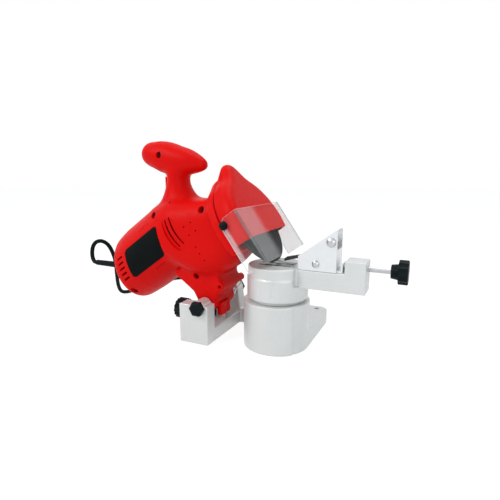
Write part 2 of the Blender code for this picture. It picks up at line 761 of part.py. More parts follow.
def depth_stop(root):
    slide = empty("depth_stop_slide", root, (PLATE_LEFT, STOP_Y, STOP_Z))
    turn = empty("depth_stop_axis", slide, (PLATE_LEFT, STOP_Y, STOP_Z))
    pad = lathe("depth_stop_pad", "X", (STOP_Y, STOP_Z),
                [(STOP_PAD_LEFT, STOP_PAD_RADIUS), (STOP_PAD_LEFT + STOP_PAD_THICK, STOP_PAD_RADIUS)], 20)
    cut(pad, cylinder("pad_bore", "X", (STOP_Y, STOP_Z), STOP_SCREW_RADIUS + RUN_GAP,
                      STOP_PAD_LEFT - OVERRUN, STOP_PAD_LEFT + STOP_PAD_THICK / 2, 20))
    finish(pad, "depth_stop_pad", slide, "rubber")
    knob_right = PLATE_LEFT - STOP_KNOB_GAP
    screw = cylinder("depth_stop_screw", "X", (STOP_Y, STOP_Z), STOP_SCREW_RADIUS,
                     knob_right - STOP_KNOB_THICK / 2, STOP_PAD_LEFT + STOP_PAD_THICK / 2 - GAP, 20)
    finish(screw, "depth_stop_screw", turn, "steel")
    knob = prism("depth_stop_knob", moved(lobed(STOP_KNOB_RADIUS, 14, STOP_KNOB_RADIUS / 12, 4),
                                          (STOP_Y, STOP_Z)), knob_right - STOP_KNOB_THICK, knob_right, "X")
    cut(knob, cylinder("knob_bore", "X", (STOP_Y, STOP_Z), STOP_SCREW_RADIUS + RUN_GAP,
                       knob_right - STOP_KNOB_THICK / 2 - GAP, knob_right + OVERRUN, 20))
    finish(knob, "depth_stop_knob", turn, "black")
    nut = prism("depth_stop_nut", circle(STOP_NUT_RADIUS, 6, (STOP_Y, STOP_Z)), PLATE_LEFT - STOP_NUT_THICK,
                PLATE_LEFT, "X")
    cut(nut, cylinder("nut_bore", "X", (STOP_Y, STOP_Z), STOP_SCREW_RADIUS + RUN_GAP,
                      PLATE_LEFT - STOP_NUT_THICK - OVERRUN, PLATE_LEFT + OVERRUN, 20))
    finish(nut, "depth_stop_nut", root, "steel")


# Turntable and vise

def turntable(swivel):
    body = lathe("turntable", "Z", (0, 0), [
        (CUP_TOP + GAP, TABLE_NECK_RADIUS), (TABLE_BOTTOM, TABLE_NECK_RADIUS),
        (TABLE_BOTTOM, TABLE_RADIUS), (TABLE_STEP, TABLE_RADIUS),
        (TABLE_STEP, TABLE_UPPER_RADIUS), (TABLE_TOP - TABLE_CHAMFER, TABLE_UPPER_RADIUS),
        (TABLE_TOP, TABLE_UPPER_RADIUS - TABLE_CHAMFER)], 40)
    for way in (-1, 1):
        near = way * ARM_HALF
        far = way * (TABLE_RADIUS + OVERRUN)
        cut(body, box("side_step", (ARM_START, min(near, far), ARM_BOTTOM + CAST_CHAMFER),
                      (TABLE_RADIUS + OVERRUN, max(near, far), TABLE_TOP + OVERRUN)))
    arm = box("arm", (0, -ARM_HALF, ARM_BOTTOM), (ARM_END, ARM_HALF, ARM_TOP))
    block = box("block", (BLOCK_START, -ARM_HALF, ARM_BOTTOM), (ARM_END, ARM_HALF, BLOCK_TOP))
    join(body, arm, block)
    cut(body, box("recess", (RECESS_START, -ARM_HALF - GAP, ARM_TOP),
                  (BLOCK_START, ARM_HALF + GAP, BLOCK_TOP)))
    jaw_back = SLOT_HALF + JAW_THICK + JAW_OPENING
    half = JAW_HALF_LENGTH + GAP
    front = -SLOT_HALF - JAW_THICK - GAP
    pocket = box("jaw_pocket", (-half, front, JAW_FLOOR - GAP), (half, jaw_back, TABLE_TOP + OVERRUN))
    deep = box("deep_pocket", (-half, SLOT_HALF - GAP - GAP, JAW_DEEP_FLOOR), (half, jaw_back, TABLE_TOP))
    cut(body, pocket, deep)
    cut(body, cylinder("clamp_bore", "Y", (0, CLAMP_Z), CLAMP_RADIUS + RUN_GAP, SLOT_HALF + JAW_THICK,
                       TABLE_RADIUS + OVERRUN, 20))
    cut(body, cylinder("stud_bore", "Z", (0, 0), STUD_RADIUS + RUN_GAP, 0,
                       TABLE_BOTTOM + STUD_INSERT + GAP, 24))
    cut(body, cylinder("adjust_bore", "X", (0, ADJUST_Z), ADJUST_RADIUS + RUN_GAP,
                       BLOCK_START - OVERRUN, ARM_END + OVERRUN, 20))
    groove_at = Vector((math.cos(GROOVE_ANGLE), math.sin(GROOVE_ANGLE))) * TABLE_RADIUS
    cut(body, cylinder("index_groove", "Z", tuple(groove_at), GROOVE_SIZE, GROOVE_BOTTOM, GROOVE_TOP, 4,
                       GROOVE_ANGLE))
    tidy_flats(body)
    return finish(body, "turntable", swivel, "cast")


def swivel_fixings(swivel):
    top = CUP_TOP - CUP_SLAB
    stud = cylinder("swivel_stud", "Z", (0, 0), STUD_RADIUS, STUD_BOTTOM, TABLE_BOTTOM + STUD_INSERT, 24)
    finish(stud, "swivel_stud", swivel, "steel")
    washer = ring("lock_washer", "Z", (0, 0), STUD_RADIUS + RUN_GAP, WASHER_RADIUS,
                  top - GAP - WASHER_THICK, top - GAP, 24)
    finish(washer, "lock_washer", swivel, "steel")
    lock = empty("lock_axis", swivel, (0, 0, STUD_BOTTOM))
    knob_top = top - GAP - WASHER_THICK - GAP
    knob = prism("lock_knob", lobed(LOCK_KNOB_RADIUS, 5, LOCK_KNOB_RADIUS / 4, 8),
                 knob_top - LOCK_KNOB_THICK, knob_top, "Z")
    cut(knob, cylinder("lock_bore", "Z", (0, 0), STUD_RADIUS + RUN_GAP, 0, CUP_TOP, 24))
    finish(knob, "lock_knob", lock, "black")


def jaws(swivel):
    fixed = box("fixed_jaw", (-JAW_HALF_LENGTH, -SLOT_HALF - JAW_THICK, JAW_FLOOR),
                (JAW_HALF_LENGTH, -SLOT_HALF, JAW_TOP))
    bevel_edges(fixed, TABLE_CHAMFER, lambda first, second: min(first.z, second.z) > JAW_TOP - RUN_GAP)
    finish(fixed, "fixed_jaw", swivel, "steel")
    slide = empty("jaw_slide", swivel, (0, 0, CLAMP_Z))
    moving = box("moving_jaw", (-JAW_HALF_LENGTH, SLOT_HALF, JAW_DEEP_FLOOR + GAP),
                 (JAW_HALF_LENGTH, SLOT_HALF + JAW_THICK, JAW_TOP))
    bevel_edges(moving, TABLE_CHAMFER, lambda first, second: min(first.z, second.z) > JAW_TOP - RUN_GAP)
    finish(moving, "moving_jaw", slide, "steel")
    turn = empty("clamp_axis", slide, (0, 0, CLAMP_Z))
    screw_front = SLOT_HALF + JAW_THICK + GAP
    knob_front = TABLE_UPPER_RADIUS + CLAMP_KNOB_STAND
    screw = cylinder("clamp_screw", "Y", (0, CLAMP_Z), CLAMP_RADIUS, screw_front,
                     knob_front + CLAMP_KNOB_THICK / 2, 20)
    finish(screw, "clamp_screw", turn, "steel")
    knob = prism("clamp_knob", moved(lobed(CLAMP_KNOB_RADIUS, 8, CLAMP_KNOB_RADIUS / 8, 5), (0, CLAMP_Z)),
                 knob_front, knob_front + CLAMP_KNOB_THICK, "Y")
    cut(knob, cylinder("knob_bore", "Y", (0, CLAMP_Z), CLAMP_RADIUS + RUN_GAP, knob_front - OVERRUN,
                       knob_front + CLAMP_KNOB_THICK / 2 + GAP, 20))
    finish(knob, "clamp_knob", turn, "black")


def side_plate(name, low, high, slide):
    outline = [(SIDE_LEFT, ARM_TOP + GAP), (SIDE_LEFT, SIDE_LOW_EDGE), (SIDE_APEX_X, SIDE_APEX),
               (SIDE_RIGHT, SIDE_APEX), (SIDE_RIGHT, ARM_TOP + GAP)]
    plate = prism(name, outline, low, high, "Y")
    for place in (SCREW_A, SCREW_B):
        cut(plate, cylinder("hole", "Y", place, SCREW_SHANK + RUN_GAP, low - OVERRUN, high + OVERRUN, 16))
    return finish(plate, name, slide, "plate")


def plate_screw(place, head, reach):
    """A pan head screw through both side plates with its nut behind them."""
    screw = cylinder("screw", "Y", place, SCREW_SHANK, -ARM_HALF - GAP, ARM_HALF + reach, 16)
    join(screw, lathe("head", "Y", place, [(-ARM_HALF - SCREW_HEAD_HEIGHT - GAP, head / 2),
                                           (-ARM_HALF - SCREW_HEAD_HEIGHT * 0.6 - GAP, head * 0.86),
                                           (-ARM_HALF - GAP, head)], 20))
    return screw


def stop_carriage(swivel):
    slide = empty("carriage_slide", swivel, (CARRIAGE_RIGHT, 0, ADJUST_Z))
    inner = ARM_HALF - PLATE_THICK - GAP
    floor = ARM_TOP + GAP
    body = box("stop_carriage", (CARRIAGE_LEFT, -inner, floor), (CARRIAGE_RIGHT, inner, floor + STEEL))
    web = box("web", (SIDE_RIGHT - STEEL, -inner, floor), (SIDE_RIGHT, inner, CARRIAGE_WEB_TOP))
    lug = box("lug", (CARRIAGE_RIGHT - STEEL, -inner, floor), (CARRIAGE_RIGHT, inner, CARRIAGE_LUG_TOP))
    join(body, web, lug)
    cut(body, cylinder("bore", "X", (0, ADJUST_Z), ADJUST_RADIUS + RUN_GAP,
                       CARRIAGE_RIGHT - STEEL - RUN_GAP, CARRIAGE_RIGHT + OVERRUN, 20))
    finish(body, "stop_carriage", slide, "steel")
    side_plate("side_plate_front", -ARM_HALF, -ARM_HALF + PLATE_THICK, slide)
    side_plate("side_plate_rear", ARM_HALF - PLATE_THICK, ARM_HALF, slide)
    finish(plate_screw(SCREW_A, SCREW_A_HEAD, NUT_THICK + GAP), "stop_screw_upper", slide, "steel")
    finish(plate_screw(SCREW_B, SCREW_B_HEAD, GAP), "stop_screw_lower", slide, "steel")
    nut = prism("nut", circle(NUT_RADIUS, 6, SCREW_A), ARM_HALF + GAP, ARM_HALF + GAP + NUT_THICK, "Y")
    cut(nut, cylinder("bore", "Y", SCREW_A, SCREW_SHANK + RUN_GAP, 0, ARM_HALF + NUT_THICK + OVERRUN, 16))
    finish(nut, "stop_screw_nut", slide, "black")
    spacer = ring("plate_spacer", "Y", SCREW_A, SCREW_SHANK + RUN_GAP, SPACER_RADIUS, GAP - inner,
                  inner - GAP, 16)
    finish(spacer, "plate_spacer", slide, "steel")
    chain_pawl(slide)
    adjuster(slide)


def chain_pawl(slide):
    """The finger that stops the chain, hooked down to the slot between the jaws."""
    pivot = empty("pawl_axis", slide, (SCREW_B[0], 0, SCREW_B[1]))
    outline = []
    steps = 10
    for step in range(steps + 1):
        angle = -math.pi * 0.45 + math.pi * step / steps
        outline.append((SCREW_B[0] + PAWL_HUB * math.cos(angle), SCREW_B[1] + PAWL_HUB * math.sin(angle)))
    for reach, rise in PAWL_BACK_SHARES + PAWL_FRONT_SHARES:
        outline.append((SCREW_B[0] - PAWL_REACH * reach, SCREW_B[1] + PAWL_RISE * rise))
    pawl = prism("chain_pawl", outline, -PAWL_HALF, PAWL_HALF, "Y")
    hub_half = ARM_HALF - PLATE_THICK - GAP
    join(pawl, cylinder("hub", "Y", SCREW_B, SPACER_RADIUS, -hub_half, hub_half, 20))
    cut(pawl, cylinder("bore", "Y", SCREW_B, SCREW_SHANK + RUN_GAP, -ARM_HALF, ARM_HALF, 16))
    return finish(pawl, "chain_pawl", pivot, "black")


def adjuster(slide):
    turn = empty("adjuster_axis", slide, (CARRIAGE_RIGHT, 0, ADJUST_Z))
    hub_right = ADJUST_HUB_LEFT + ADJUST_HUB_LENGTH
    knob_right = hub_right + ADJUST_KNOB_LENGTH
    screw = cylinder("adjusting_screw", "X", (0, ADJUST_Z), ADJUST_RADIUS, CARRIAGE_RIGHT - STEEL,
                     hub_right, 20)
    finish(screw, "adjusting_screw", turn, "steel")
    knob = lathe("adjusting_knob", "X", (0, ADJUST_Z), [
        (ADJUST_HUB_LEFT, ADJUST_HUB_RADIUS), (hub_right, ADJUST_HUB_RADIUS * 1.15)], 20)
    grip = prism("grip", moved(lobed(ADJUST_KNOB_RADIUS, 12, ADJUST_KNOB_RADIUS / 12, 3), (0, ADJUST_Z)),
                 hub_right - RUN_GAP, knob_right, "X")
    bevel_edges(grip, TABLE_CHAMFER, lambda first, second: abs(first.x - second.x) < RUN_GAP)
    join(knob, grip)
    cut(knob, cylinder("bore", "X", (0, ADJUST_Z), ADJUST_RADIUS + RUN_GAP, ADJUST_HUB_LEFT - OVERRUN,
                       hub_right + GAP, 20))
    tidy_flats(knob)
    finish(knob, "adjusting_knob", turn, "black")


# Head housing

def oval(low, high, half, steps, power):
    """A rounded box outline across the head, as (across, up) points."""
    outline = []
    for step in range(steps):
        angle = math.tau * (step + 0.5) / steps
        across = math.copysign(abs(math.cos(angle)) ** power, math.cos(angle)) * half
        up = math.copysign(abs(math.sin(angle)) ** power, math.sin(angle)) * (high - low) / 2
        outline.append((across, (low + high) / 2 + up))
    return outline


def barrel():
    """The motor barrel with its rear dome. Its end leans over, so the top is shorter than the bottom."""
    profile = [(-BARREL_LENGTH * along, BARREL_RADIUS * reach) for along, reach in BARREL_SHARES]
    profile.append((-BODY_BACK, BARREL_RADIUS))
    body = lathe("housing", "X", (0, MOTOR_Z), profile, 36)
    for vertex in body.data.vertices:
        along = max(0, -vertex.co.x / BARREL_LENGTH)
        vertex.co.x += BARREL_SLANT_SHARE * (vertex.co.z - MOTOR_Z) * along ** 2
    return body


def gear_body(name, inset, back, front, steps):
    """The body round the drive, tapering towards the wheel."""
    rings = []
    for along, low, high, half in body_stations(back, front):
        outline = oval(low + inset, high - inset, half - inset, steps, 0.62)
        rings.append([(along, *point) for point in outline])
    return loft(name, rings)


def body_stations(back, front):
    """The body's sections between two planes, with the end sections worked out between stations."""
    stations = [(BODY_BACK + BODY_LENGTH * along, BODY_HEIGHT * low, BODY_HEIGHT * high, BODY_HALF * half)
                for along, low, high, half in BODY_SHARES]
    result = []
    for first, second in zip(stations, stations[1:]):
        for place in (back, first[0], front):
            if first[0] <= place < second[0] and back <= place <= front:
                share = (place - first[0]) / (second[0] - first[0])
                station = tuple(a + (b - a) * share for a, b in zip(first, second))
                if not result or station[0] > result[-1][0] + RUN_GAP:
                    result.append(station)
    if front >= stations[-1][0]:
        result.append(stations[-1])
    return sorted(result)


def upright(body):
    """Turns a shape drawn upright about the hinge into the head's tilted frame."""
    return transformed(body, Matrix.Rotation(HEAD_TILT, 4, "Y"))


def neck(name, inset, steps):
    rings = []
    for up, left, right, depth in NECK_SHARES:
        left_reach = NECK_HALF * left - inset
        right_reach = NECK_HALF * right - inset
        outline = []
        for step in range(steps):
            angle = math.tau * (step + 0.5) / steps
            reach = right_reach if math.cos(angle) > 0 else left_reach
            outline.append((NECK_X + reach * math.cos(angle),
                            (NECK_HALF_DEPTH * depth - inset) * math.sin(angle), NECK_FOOT + NECK_TALL * up))
        rings.append(outline)
    return upright(loft(name, rings))


def handle(name, inset, steps):
    rings = []
    shrink = (HANDLE_LENGTH - 2 * inset) / HANDLE_LENGTH
    for along, drop, height, depth in HANDLE_SHARES:
        x = HANDLE_LEFT + inset + HANDLE_LENGTH * along * shrink
        half_height = max(HANDLE_HALF_HEIGHT * height - inset, HANDLE_HALF_HEIGHT * height * 0.4)
        half_depth = max(HANDLE_HALF_DEPTH * depth - inset, HANDLE_HALF_DEPTH * depth * 0.4)
        outline = []
        for step in range(steps):
            angle = math.tau * (step + 0.5) / steps
            outline.append((x, half_depth * math.cos(angle),
                            HANDLE_Z - HANDLE_DROP * drop + half_height * math.sin(angle)))
        rings.append(outline)
    return upright(loft(name, rings))


def foot():
    """The foot that carries the head on the pin, with its lug and its heel."""
    outline = [(FOOT_SIZE * x, FOOT_SIZE * z) for x, z in FOOT_SHARES]
    body = prism("foot", outline, -FOOT_HALF, FOOT_HALF, "Y")
    join(body, cylinder("hinge_barrel", "Y", (0, 0), BARREL_HINGE_RADIUS, -FOOT_HALF, FOOT_HALF, 28))
    join(body, cylinder("lug_boss", "Y", LUG_BOSS, LUG_BOSS_RADIUS, -FOOT_HALF - GAP, LUG_BOSS_BACK, 18))
    left = HINGE_X - 2 * BARREL_HINGE_RADIUS
    right = HINGE_X + 2 * BARREL_HINGE_RADIUS
    notch = [at_rest(left, 0), at_rest(right, 0), at_rest(right, NOTCH_TOP), at_rest(left, NOTCH_TOP)]
    cut(body, prism("notch", notch, -FOOT_HALF - OVERRUN, NOTCH_BACK, "Y"))
    heel_left = STOP_PAD_LEFT + STOP_PAD_THICK + GAP
    heel = [at_rest(heel_left, HEEL_BOTTOM), at_rest(HEEL_RIGHT, HEEL_BOTTOM),
            at_rest(HEEL_RIGHT, HINGE_Z), at_rest(heel_left, HINGE_Z - PIN_RADIUS)]
    join(body, prism("heel", heel, HEEL_FRONT, HEEL_BACK, "Y"))
    return body


def screw_places():
    return [(FOOT_SIZE * x, FOOT_SIZE * z) for x, z in SCREW_PLACES_SHARES]


def housing_solid():
    """The closed outer form of both halves together."""
    body = barrel()
    join(body, gear_body("body", 0, BODY_BACK, BODY_BACK + BODY_LENGTH, 28), neck("neck", 0, 24),
         handle("handle", 0, 24), foot())
    for x, up in RIB_SHARES:
        rib = box("rib", (FOOT_SIZE * x - RIB_HALF, -FOOT_HALF - RIB_OUT, FOOT_SIZE * RIB_LOW_SHARE),
                  (FOOT_SIZE * x + RIB_HALF, -NECK_HALF, FOOT_SIZE * up))
        join(body, rib)
    return body


def housing_hollow():
    """The inside: motor chamber, drive chamber, neck and handle, less the screw bosses."""
    motor = cylinder("hollow", "X", (0, MOTOR_Z), CHAMBER_RADIUS, CHAMBER_STEP, CHAMBER_FRONT, 36)
    rear = cylinder("rear_hollow", "X", (0, MOTOR_Z), REAR_CHAMBER_RADIUS, CHAMBER_BACK,
                    CHAMBER_STEP + WALL, 30)
    drive = gear_body("drive_hollow", WALL, FRONT_CHAMBER_BACK, FRONT_CHAMBER_END, 20)
    join(motor, rear, neck("neck_hollow", WALL, 14), handle("handle_hollow", WALL, 12), drive)
    for place in screw_places():
        cut(motor, cylinder("boss", "Y", place, SCREW_BOSS, -BODY_HALF, BODY_HALF, 12))
    return motor


def housing(head):
    solid = housing_solid()
    cut(solid, housing_hollow())
    bore_ends = (-FOOT_HALF - OVERRUN, LUG_BOSS_BACK + OVERRUN)
    cut(solid, cylinder("pin_bore", "Y", (0, 0), PIN_RADIUS + RUN_GAP, *bore_ends, 24, math.pi / 24))
    cut(solid, cylinder("lug_bore", "Y", LUG_BOSS, LUG_BOSS_BORE, *bore_ends, 14, math.pi / 14))
    rear_seat = CHAMBER_BACK - BEARING_WIDTH - GAP
    seats = [("X", (0, MOTOR_Z), rear_seat, CHAMBER_BACK + OVERRUN),
             ("X", (0, MOTOR_Z), CHAMBER_FRONT - OVERRUN, FRONT_CHAMBER_BACK + OVERRUN),
             ("X", (0, SPINDLE_Z), CHAMBER_FRONT - OVERRUN, FRONT_CHAMBER_BACK + OVERRUN),
             ("X", (0, SPINDLE_Z), FRONT_CHAMBER_END - OVERRUN, BODY_BACK + BODY_LENGTH + OVERRUN)]
    for axis, centre, low, high in seats:
        cut(solid, cylinder("seat", axis, centre, BEARING_RADIUS + GAP, low, high, 18))
    cut(solid, *vent_cutters(), trigger_opening(), gland_opening(), *rating_recess())
    far = copy_of(solid, "housing_far")
    places = screw_places()
    for place, share in zip(places, SCREW_DEPTH_SHARES):
        depth = -BODY_HALF * share
        cut(solid, cylinder("sink", "Y", place, SCREW_SINK, -BODY_HALF - OVERRUN, depth, 16))
        cut(solid, cylinder("bore", "Y", place, PIN_RADIUS / 2 + RUN_GAP, depth - OVERRUN, OVERRUN, 12))
        cut(far, cylinder("bore", "Y", place, PIN_RADIUS / 2 + RUN_GAP, -OVERRUN, SCREW_BOSS + GAP, 12))
    reach = BARREL_LENGTH * 3
    cut(solid, box("far_side", (-reach, -SPLIT_GAP, -reach), (reach, reach, reach)))
    cut(far, box("near_side", (-reach, -reach, -reach), (reach, SPLIT_GAP, reach)))
    tidy_flats(solid)
    tidy_flats(far)
    finish(solid, "housing_near", head, "red")
    finish(far, "housing_far", head, "red")


def vent_cutters():
    """Two tall slots by the fan on each side, and five short ones behind the motor."""
    cutters = []
    for way in (-1, 1):
        near, far = sorted((way * VENT_REACH, way * VENT_DEPTH))
        for x in VENT_X:
            cutters.append(box("vent", (x - VENT_HALF, near, VENT_BOTTOM),
                               (x + VENT_HALF, far, VENT_BOTTOM + VENT_TALL)))
        for count in range(REAR_VENTS):
            up = REAR_VENT_TOP - REAR_VENT_PITCH * count
            left = REAR_VENT_LEFT + BARREL_SLANT_SHARE * (up - MOTOR_Z)
            cutters.append(box("rear_vent", (left, near, up - REAR_VENT_HALF),
                               (left + REAR_VENT_LENGTH, far, up + REAR_VENT_HALF)))
    return cutters


def rating_recess():
    """The seat of the rating plate, on the near side of the barrel."""
    return [plate_shape("recess", RATING_LENGTH + 2 * GAP, RATING_HEIGHT + 2 * GAP, -RATING_RECESS, WALL)]


def plate_shape(name, length, height, low, high):
    """A leaning piece of the barrel's skin between two radii, low and high measured from its surface."""
    steps = 8
    half = height / 2 / BARREL_RADIUS
    outline = []
    outward = range(steps + 1)
    for reach, ways in ((BARREL_RADIUS + high, outward), (BARREL_RADIUS + low, reversed(outward))):
        for step in ways:
            angle = math.pi + RATING_DROP - half + 2 * half * step / steps
            outline.append((reach * math.cos(angle), MOTOR_Z + reach * math.sin(angle)))
    plate = prism(name, outline, RATING_X - length / 2, RATING_X + length / 2, "X")
    for vertex in plate.data.vertices:
        vertex.co.x += BARREL_SLANT_SHARE * (vertex.co.z - MOTOR_Z)
    return plate


def rating_plate(head):
    plate = plate_shape("rating_plate", RATING_LENGTH, RATING_HEIGHT, GAP - RATING_RECESS,
                        GAP - RATING_RECESS + RATING_THICK)
    return finish(plate, "rating_plate", head, "black")


def trigger_opening():
    left = NECK_X - NECK_HALF * 1.5
    return upright(box("trigger_opening", (left, -TRIGGER_HALF - GAP, TRIGGER_BOTTOM - GAP),
                       (left + TRIGGER_DEPTH + NECK_HALF * 0.5, TRIGGER_HALF + GAP,
                        TRIGGER_BOTTOM + TRIGGER_TALL + GAP)))


def gland_place():
    x, z = at_rest(GLAND_START[0], GLAND_START[2])
    return Vector((x, 0, z))


def gland_opening():
    """The bore for the strain relief, level at rest, so tilted in the head's frame."""
    hole = cylinder("gland_opening", "X", (0, GLAND_START[2] - HINGE_Z), GLAND_RADIUS + GAP,
                    GLAND_START[0] - HINGE_X - GLAND_LENGTH, GLAND_START[0] - HINGE_X + GLAND_SET_IN, 20)
    return upright(hole)


def cord_gland(head):
    """A straight collar and a tapered sleeve round the cord."""
    start = GLAND_START[0] - HINGE_X + GLAND_SET_IN - GAP
    up = GLAND_START[2] - HINGE_Z
    end = gland_end().x - HINGE_X
    profile = [(end, GLAND_RADIUS * GLAND_END_SHARE), (end + GLAND_TAPER, GLAND_RADIUS),
               (start, GLAND_RADIUS)]
    gland = lathe("cord_gland", "X", (0, up), profile, 20)
    cut(gland, cylinder("bore", "X", (0, up), CORD_RADIUS + GAP, end - OVERRUN, end + GLAND_TAPER, 18))
    return finish(upright(gland), "cord_gland", head, "rubber")


def switch_trigger(head):
    """The paddle in the neck, with the block that holds the contacts behind it."""
    left = NECK_X - NECK_HALF * 0.92 - TRIGGER_OUT
    slide = empty("trigger_slide", head, tuple(upright_place(left, TRIGGER_BOTTOM + TRIGGER_TALL / 2)))
    paddle = box("switch_trigger", (left, -TRIGGER_HALF, TRIGGER_BOTTOM),
                 (left + TRIGGER_DEPTH, TRIGGER_HALF, TRIGGER_BOTTOM + TRIGGER_TALL))
    bevel_edges(paddle, TABLE_CHAMFER, lambda first, second: max(first.x, second.x) < left + RUN_GAP)
    finish(upright(paddle), "switch_trigger", slide, "black")
    block_left = left + TRIGGER_DEPTH + TRIGGER_OUT + GAP
    block = box("switch_block", (block_left, -SWITCH_HALF, TRIGGER_BOTTOM + GAP),
                (block_left + TRIGGER_DEPTH, SWITCH_HALF, TRIGGER_BOTTOM + TRIGGER_TALL))
    finish(upright(block), "switch_block", head, "black")


def upright_place(x, z):
    cos = math.cos(HEAD_TILT)
    sin = math.sin(HEAD_TILT)
    return Vector((x * cos + z * sin, 0, z * cos - x * sin))


# Motor and drive

def bearing(name, parent, centre, back):
    race = ring(name, "X", centre, BEARING_BORE + RUN_GAP + SPINDLE_RADIUS - SHAFT_RADIUS, BEARING_RADIUS,
                back, back + BEARING_WIDTH - GAP, 16)
    return finish(race, name, parent, "steel")


def motor(head):
    stator = ring("stator", "X", (0, MOTOR_Z), STATOR_BORE, CHAMBER_RADIUS - GAP, STATOR_BACK,
                  STATOR_FRONT, 24)
    finish(stator, "stator", head, "steel")
    axis = empty("armature_axis", head, (0, 0, MOTOR_Z))
    core_back = STATOR_BACK + GAP
    core_front = STATOR_FRONT - GAP
    commutator_front = COMMUTATOR_BACK + COMMUTATOR_LENGTH
    shaft = lathe("armature", "X", (0, MOTOR_Z), [
        (CHAMBER_BACK - BEARING_WIDTH + GAP, SHAFT_RADIUS), (COMMUTATOR_BACK, SHAFT_RADIUS),
        (COMMUTATOR_BACK, COMMUTATOR_RADIUS), (commutator_front, COMMUTATOR_RADIUS),
        (commutator_front, SHAFT_RADIUS * 1.6), (core_back, SHAFT_RADIUS * 1.6),
        (core_back, CORE_RADIUS), (core_front, CORE_RADIUS), (core_front, SHAFT_RADIUS),
        (PULLEY_BACK + PULLEY_WIDTH + GAP, SHAFT_RADIUS)], 18)
    finish(shaft, "armature", axis, "copper")
    fan(axis)
    pulley("motor_pulley", axis, (0, MOTOR_Z), PULLEY_SMALL, SHAFT_RADIUS)
    for name, way in (("brush_holder_near", -1), ("brush_holder_far", 1)):
        low = way * (COMMUTATOR_RADIUS + GAP)
        high = way * (REAR_CHAMBER_RADIUS - 4 * GAP)
        middle = COMMUTATOR_BACK + COMMUTATOR_LENGTH / 2
        holder = box(name, (middle - BRUSH_HALF, min(low, high), MOTOR_Z - BRUSH_HALF),
                     (middle + BRUSH_HALF, max(low, high), MOTOR_Z + BRUSH_HALF))
        finish(holder, name, head, "bronze")
    bearing("motor_bearing_rear", head, (0, MOTOR_Z), CHAMBER_BACK - BEARING_WIDTH + GAP)
    bearing("motor_bearing_front", head, (0, MOTOR_Z), CHAMBER_FRONT)
    bearing("spindle_bearing_rear", head, (0, SPINDLE_Z), CHAMBER_FRONT)
    bearing("spindle_bearing_front", head, (0, SPINDLE_Z), FRONT_CHAMBER_END + GAP)


def fan(axis):
    """A radial fan: a disc with blades, and a hub on the shaft."""
    front = FAN_BACK + FAN_WIDTH
    hub = cylinder("fan", "X", (0, MOTOR_Z), FAN_RADIUS, front - STEEL, front, 28)
    join(hub, cylinder("hub", "X", (0, MOTOR_Z), SHAFT_RADIUS * 2, FAN_BACK, front, 14))
    for count in range(FAN_BLADES):
        blade = box("blade", (FAN_BACK, -FAN_BLADE_HALF, SHAFT_RADIUS * 1.5),
                    (front - GAP, FAN_BLADE_HALF, FAN_RADIUS * 0.97))
        turn = Matrix.Rotation(math.tau * count / FAN_BLADES, 4, "X")
        transformed(blade, Matrix.Translation((0, 0, MOTOR_Z)) @ turn)
        join(hub, blade)
    cut(hub, cylinder("bore", "X", (0, MOTOR_Z), SHAFT_RADIUS + RUN_GAP, FAN_BACK - OVERRUN,
                      front + OVERRUN, 18))
    return finish(hub, "fan", axis, "black")


def pulley(name, axis, centre, radius, bore):
    """A pulley with grooves for a ribbed belt."""
    profile = [(PULLEY_BACK, radius)]
    pitch = PULLEY_WIDTH / PULLEY_GROOVES
    for count in range(PULLEY_GROOVES):
        start = PULLEY_BACK + pitch * count
        profile += [(start + pitch * 0.2, radius), (start + pitch * 0.5, radius - GROOVE_DEPTH),
                    (start + pitch * 0.8, radius)]
    profile.append((PULLEY_BACK + PULLEY_WIDTH, radius))
    wheel = lathe(name, "X", centre, profile, 20)
    cut(wheel, cylinder("bore", "X", centre, bore + RUN_GAP, PULLEY_BACK - OVERRUN,
                        PULLEY_BACK + PULLEY_WIDTH + OVERRUN, 18))
    return finish(wheel, name, axis, "steel")


def belt_outline(extra):
    """The closed path round both pulleys, at a distance from their rims."""
    large = PULLEY_SMALL * DRIVE_RATIO_SHARE
    lean = math.asin((large - PULLEY_SMALL) / (MOTOR_Z - SPINDLE_Z))
    outline = []
    for centre, radius, first, turn, steps in (
            (MOTOR_Z, PULLEY_SMALL + extra, lean, math.pi - 2 * lean, 10),
            (SPINDLE_Z, large + extra, math.pi - lean, math.pi + 2 * lean, 20)):
        for step in range(steps + 1):
            angle = first + turn * step / steps
            outline.append((radius * math.cos(angle), centre + radius * math.sin(angle)))
    return outline


def drive_belt(head):
    belt = prism("drive_belt", belt_outline(GAP + BELT_THICK), PULLEY_BACK + GAP,
                 PULLEY_BACK + PULLEY_WIDTH - GAP, "X")
    cut(belt, prism("inside", belt_outline(GAP), PULLEY_BACK - OVERRUN,
                    PULLEY_BACK + PULLEY_WIDTH + OVERRUN, "X"))
    return finish(belt, "drive_belt", head, "rubber")


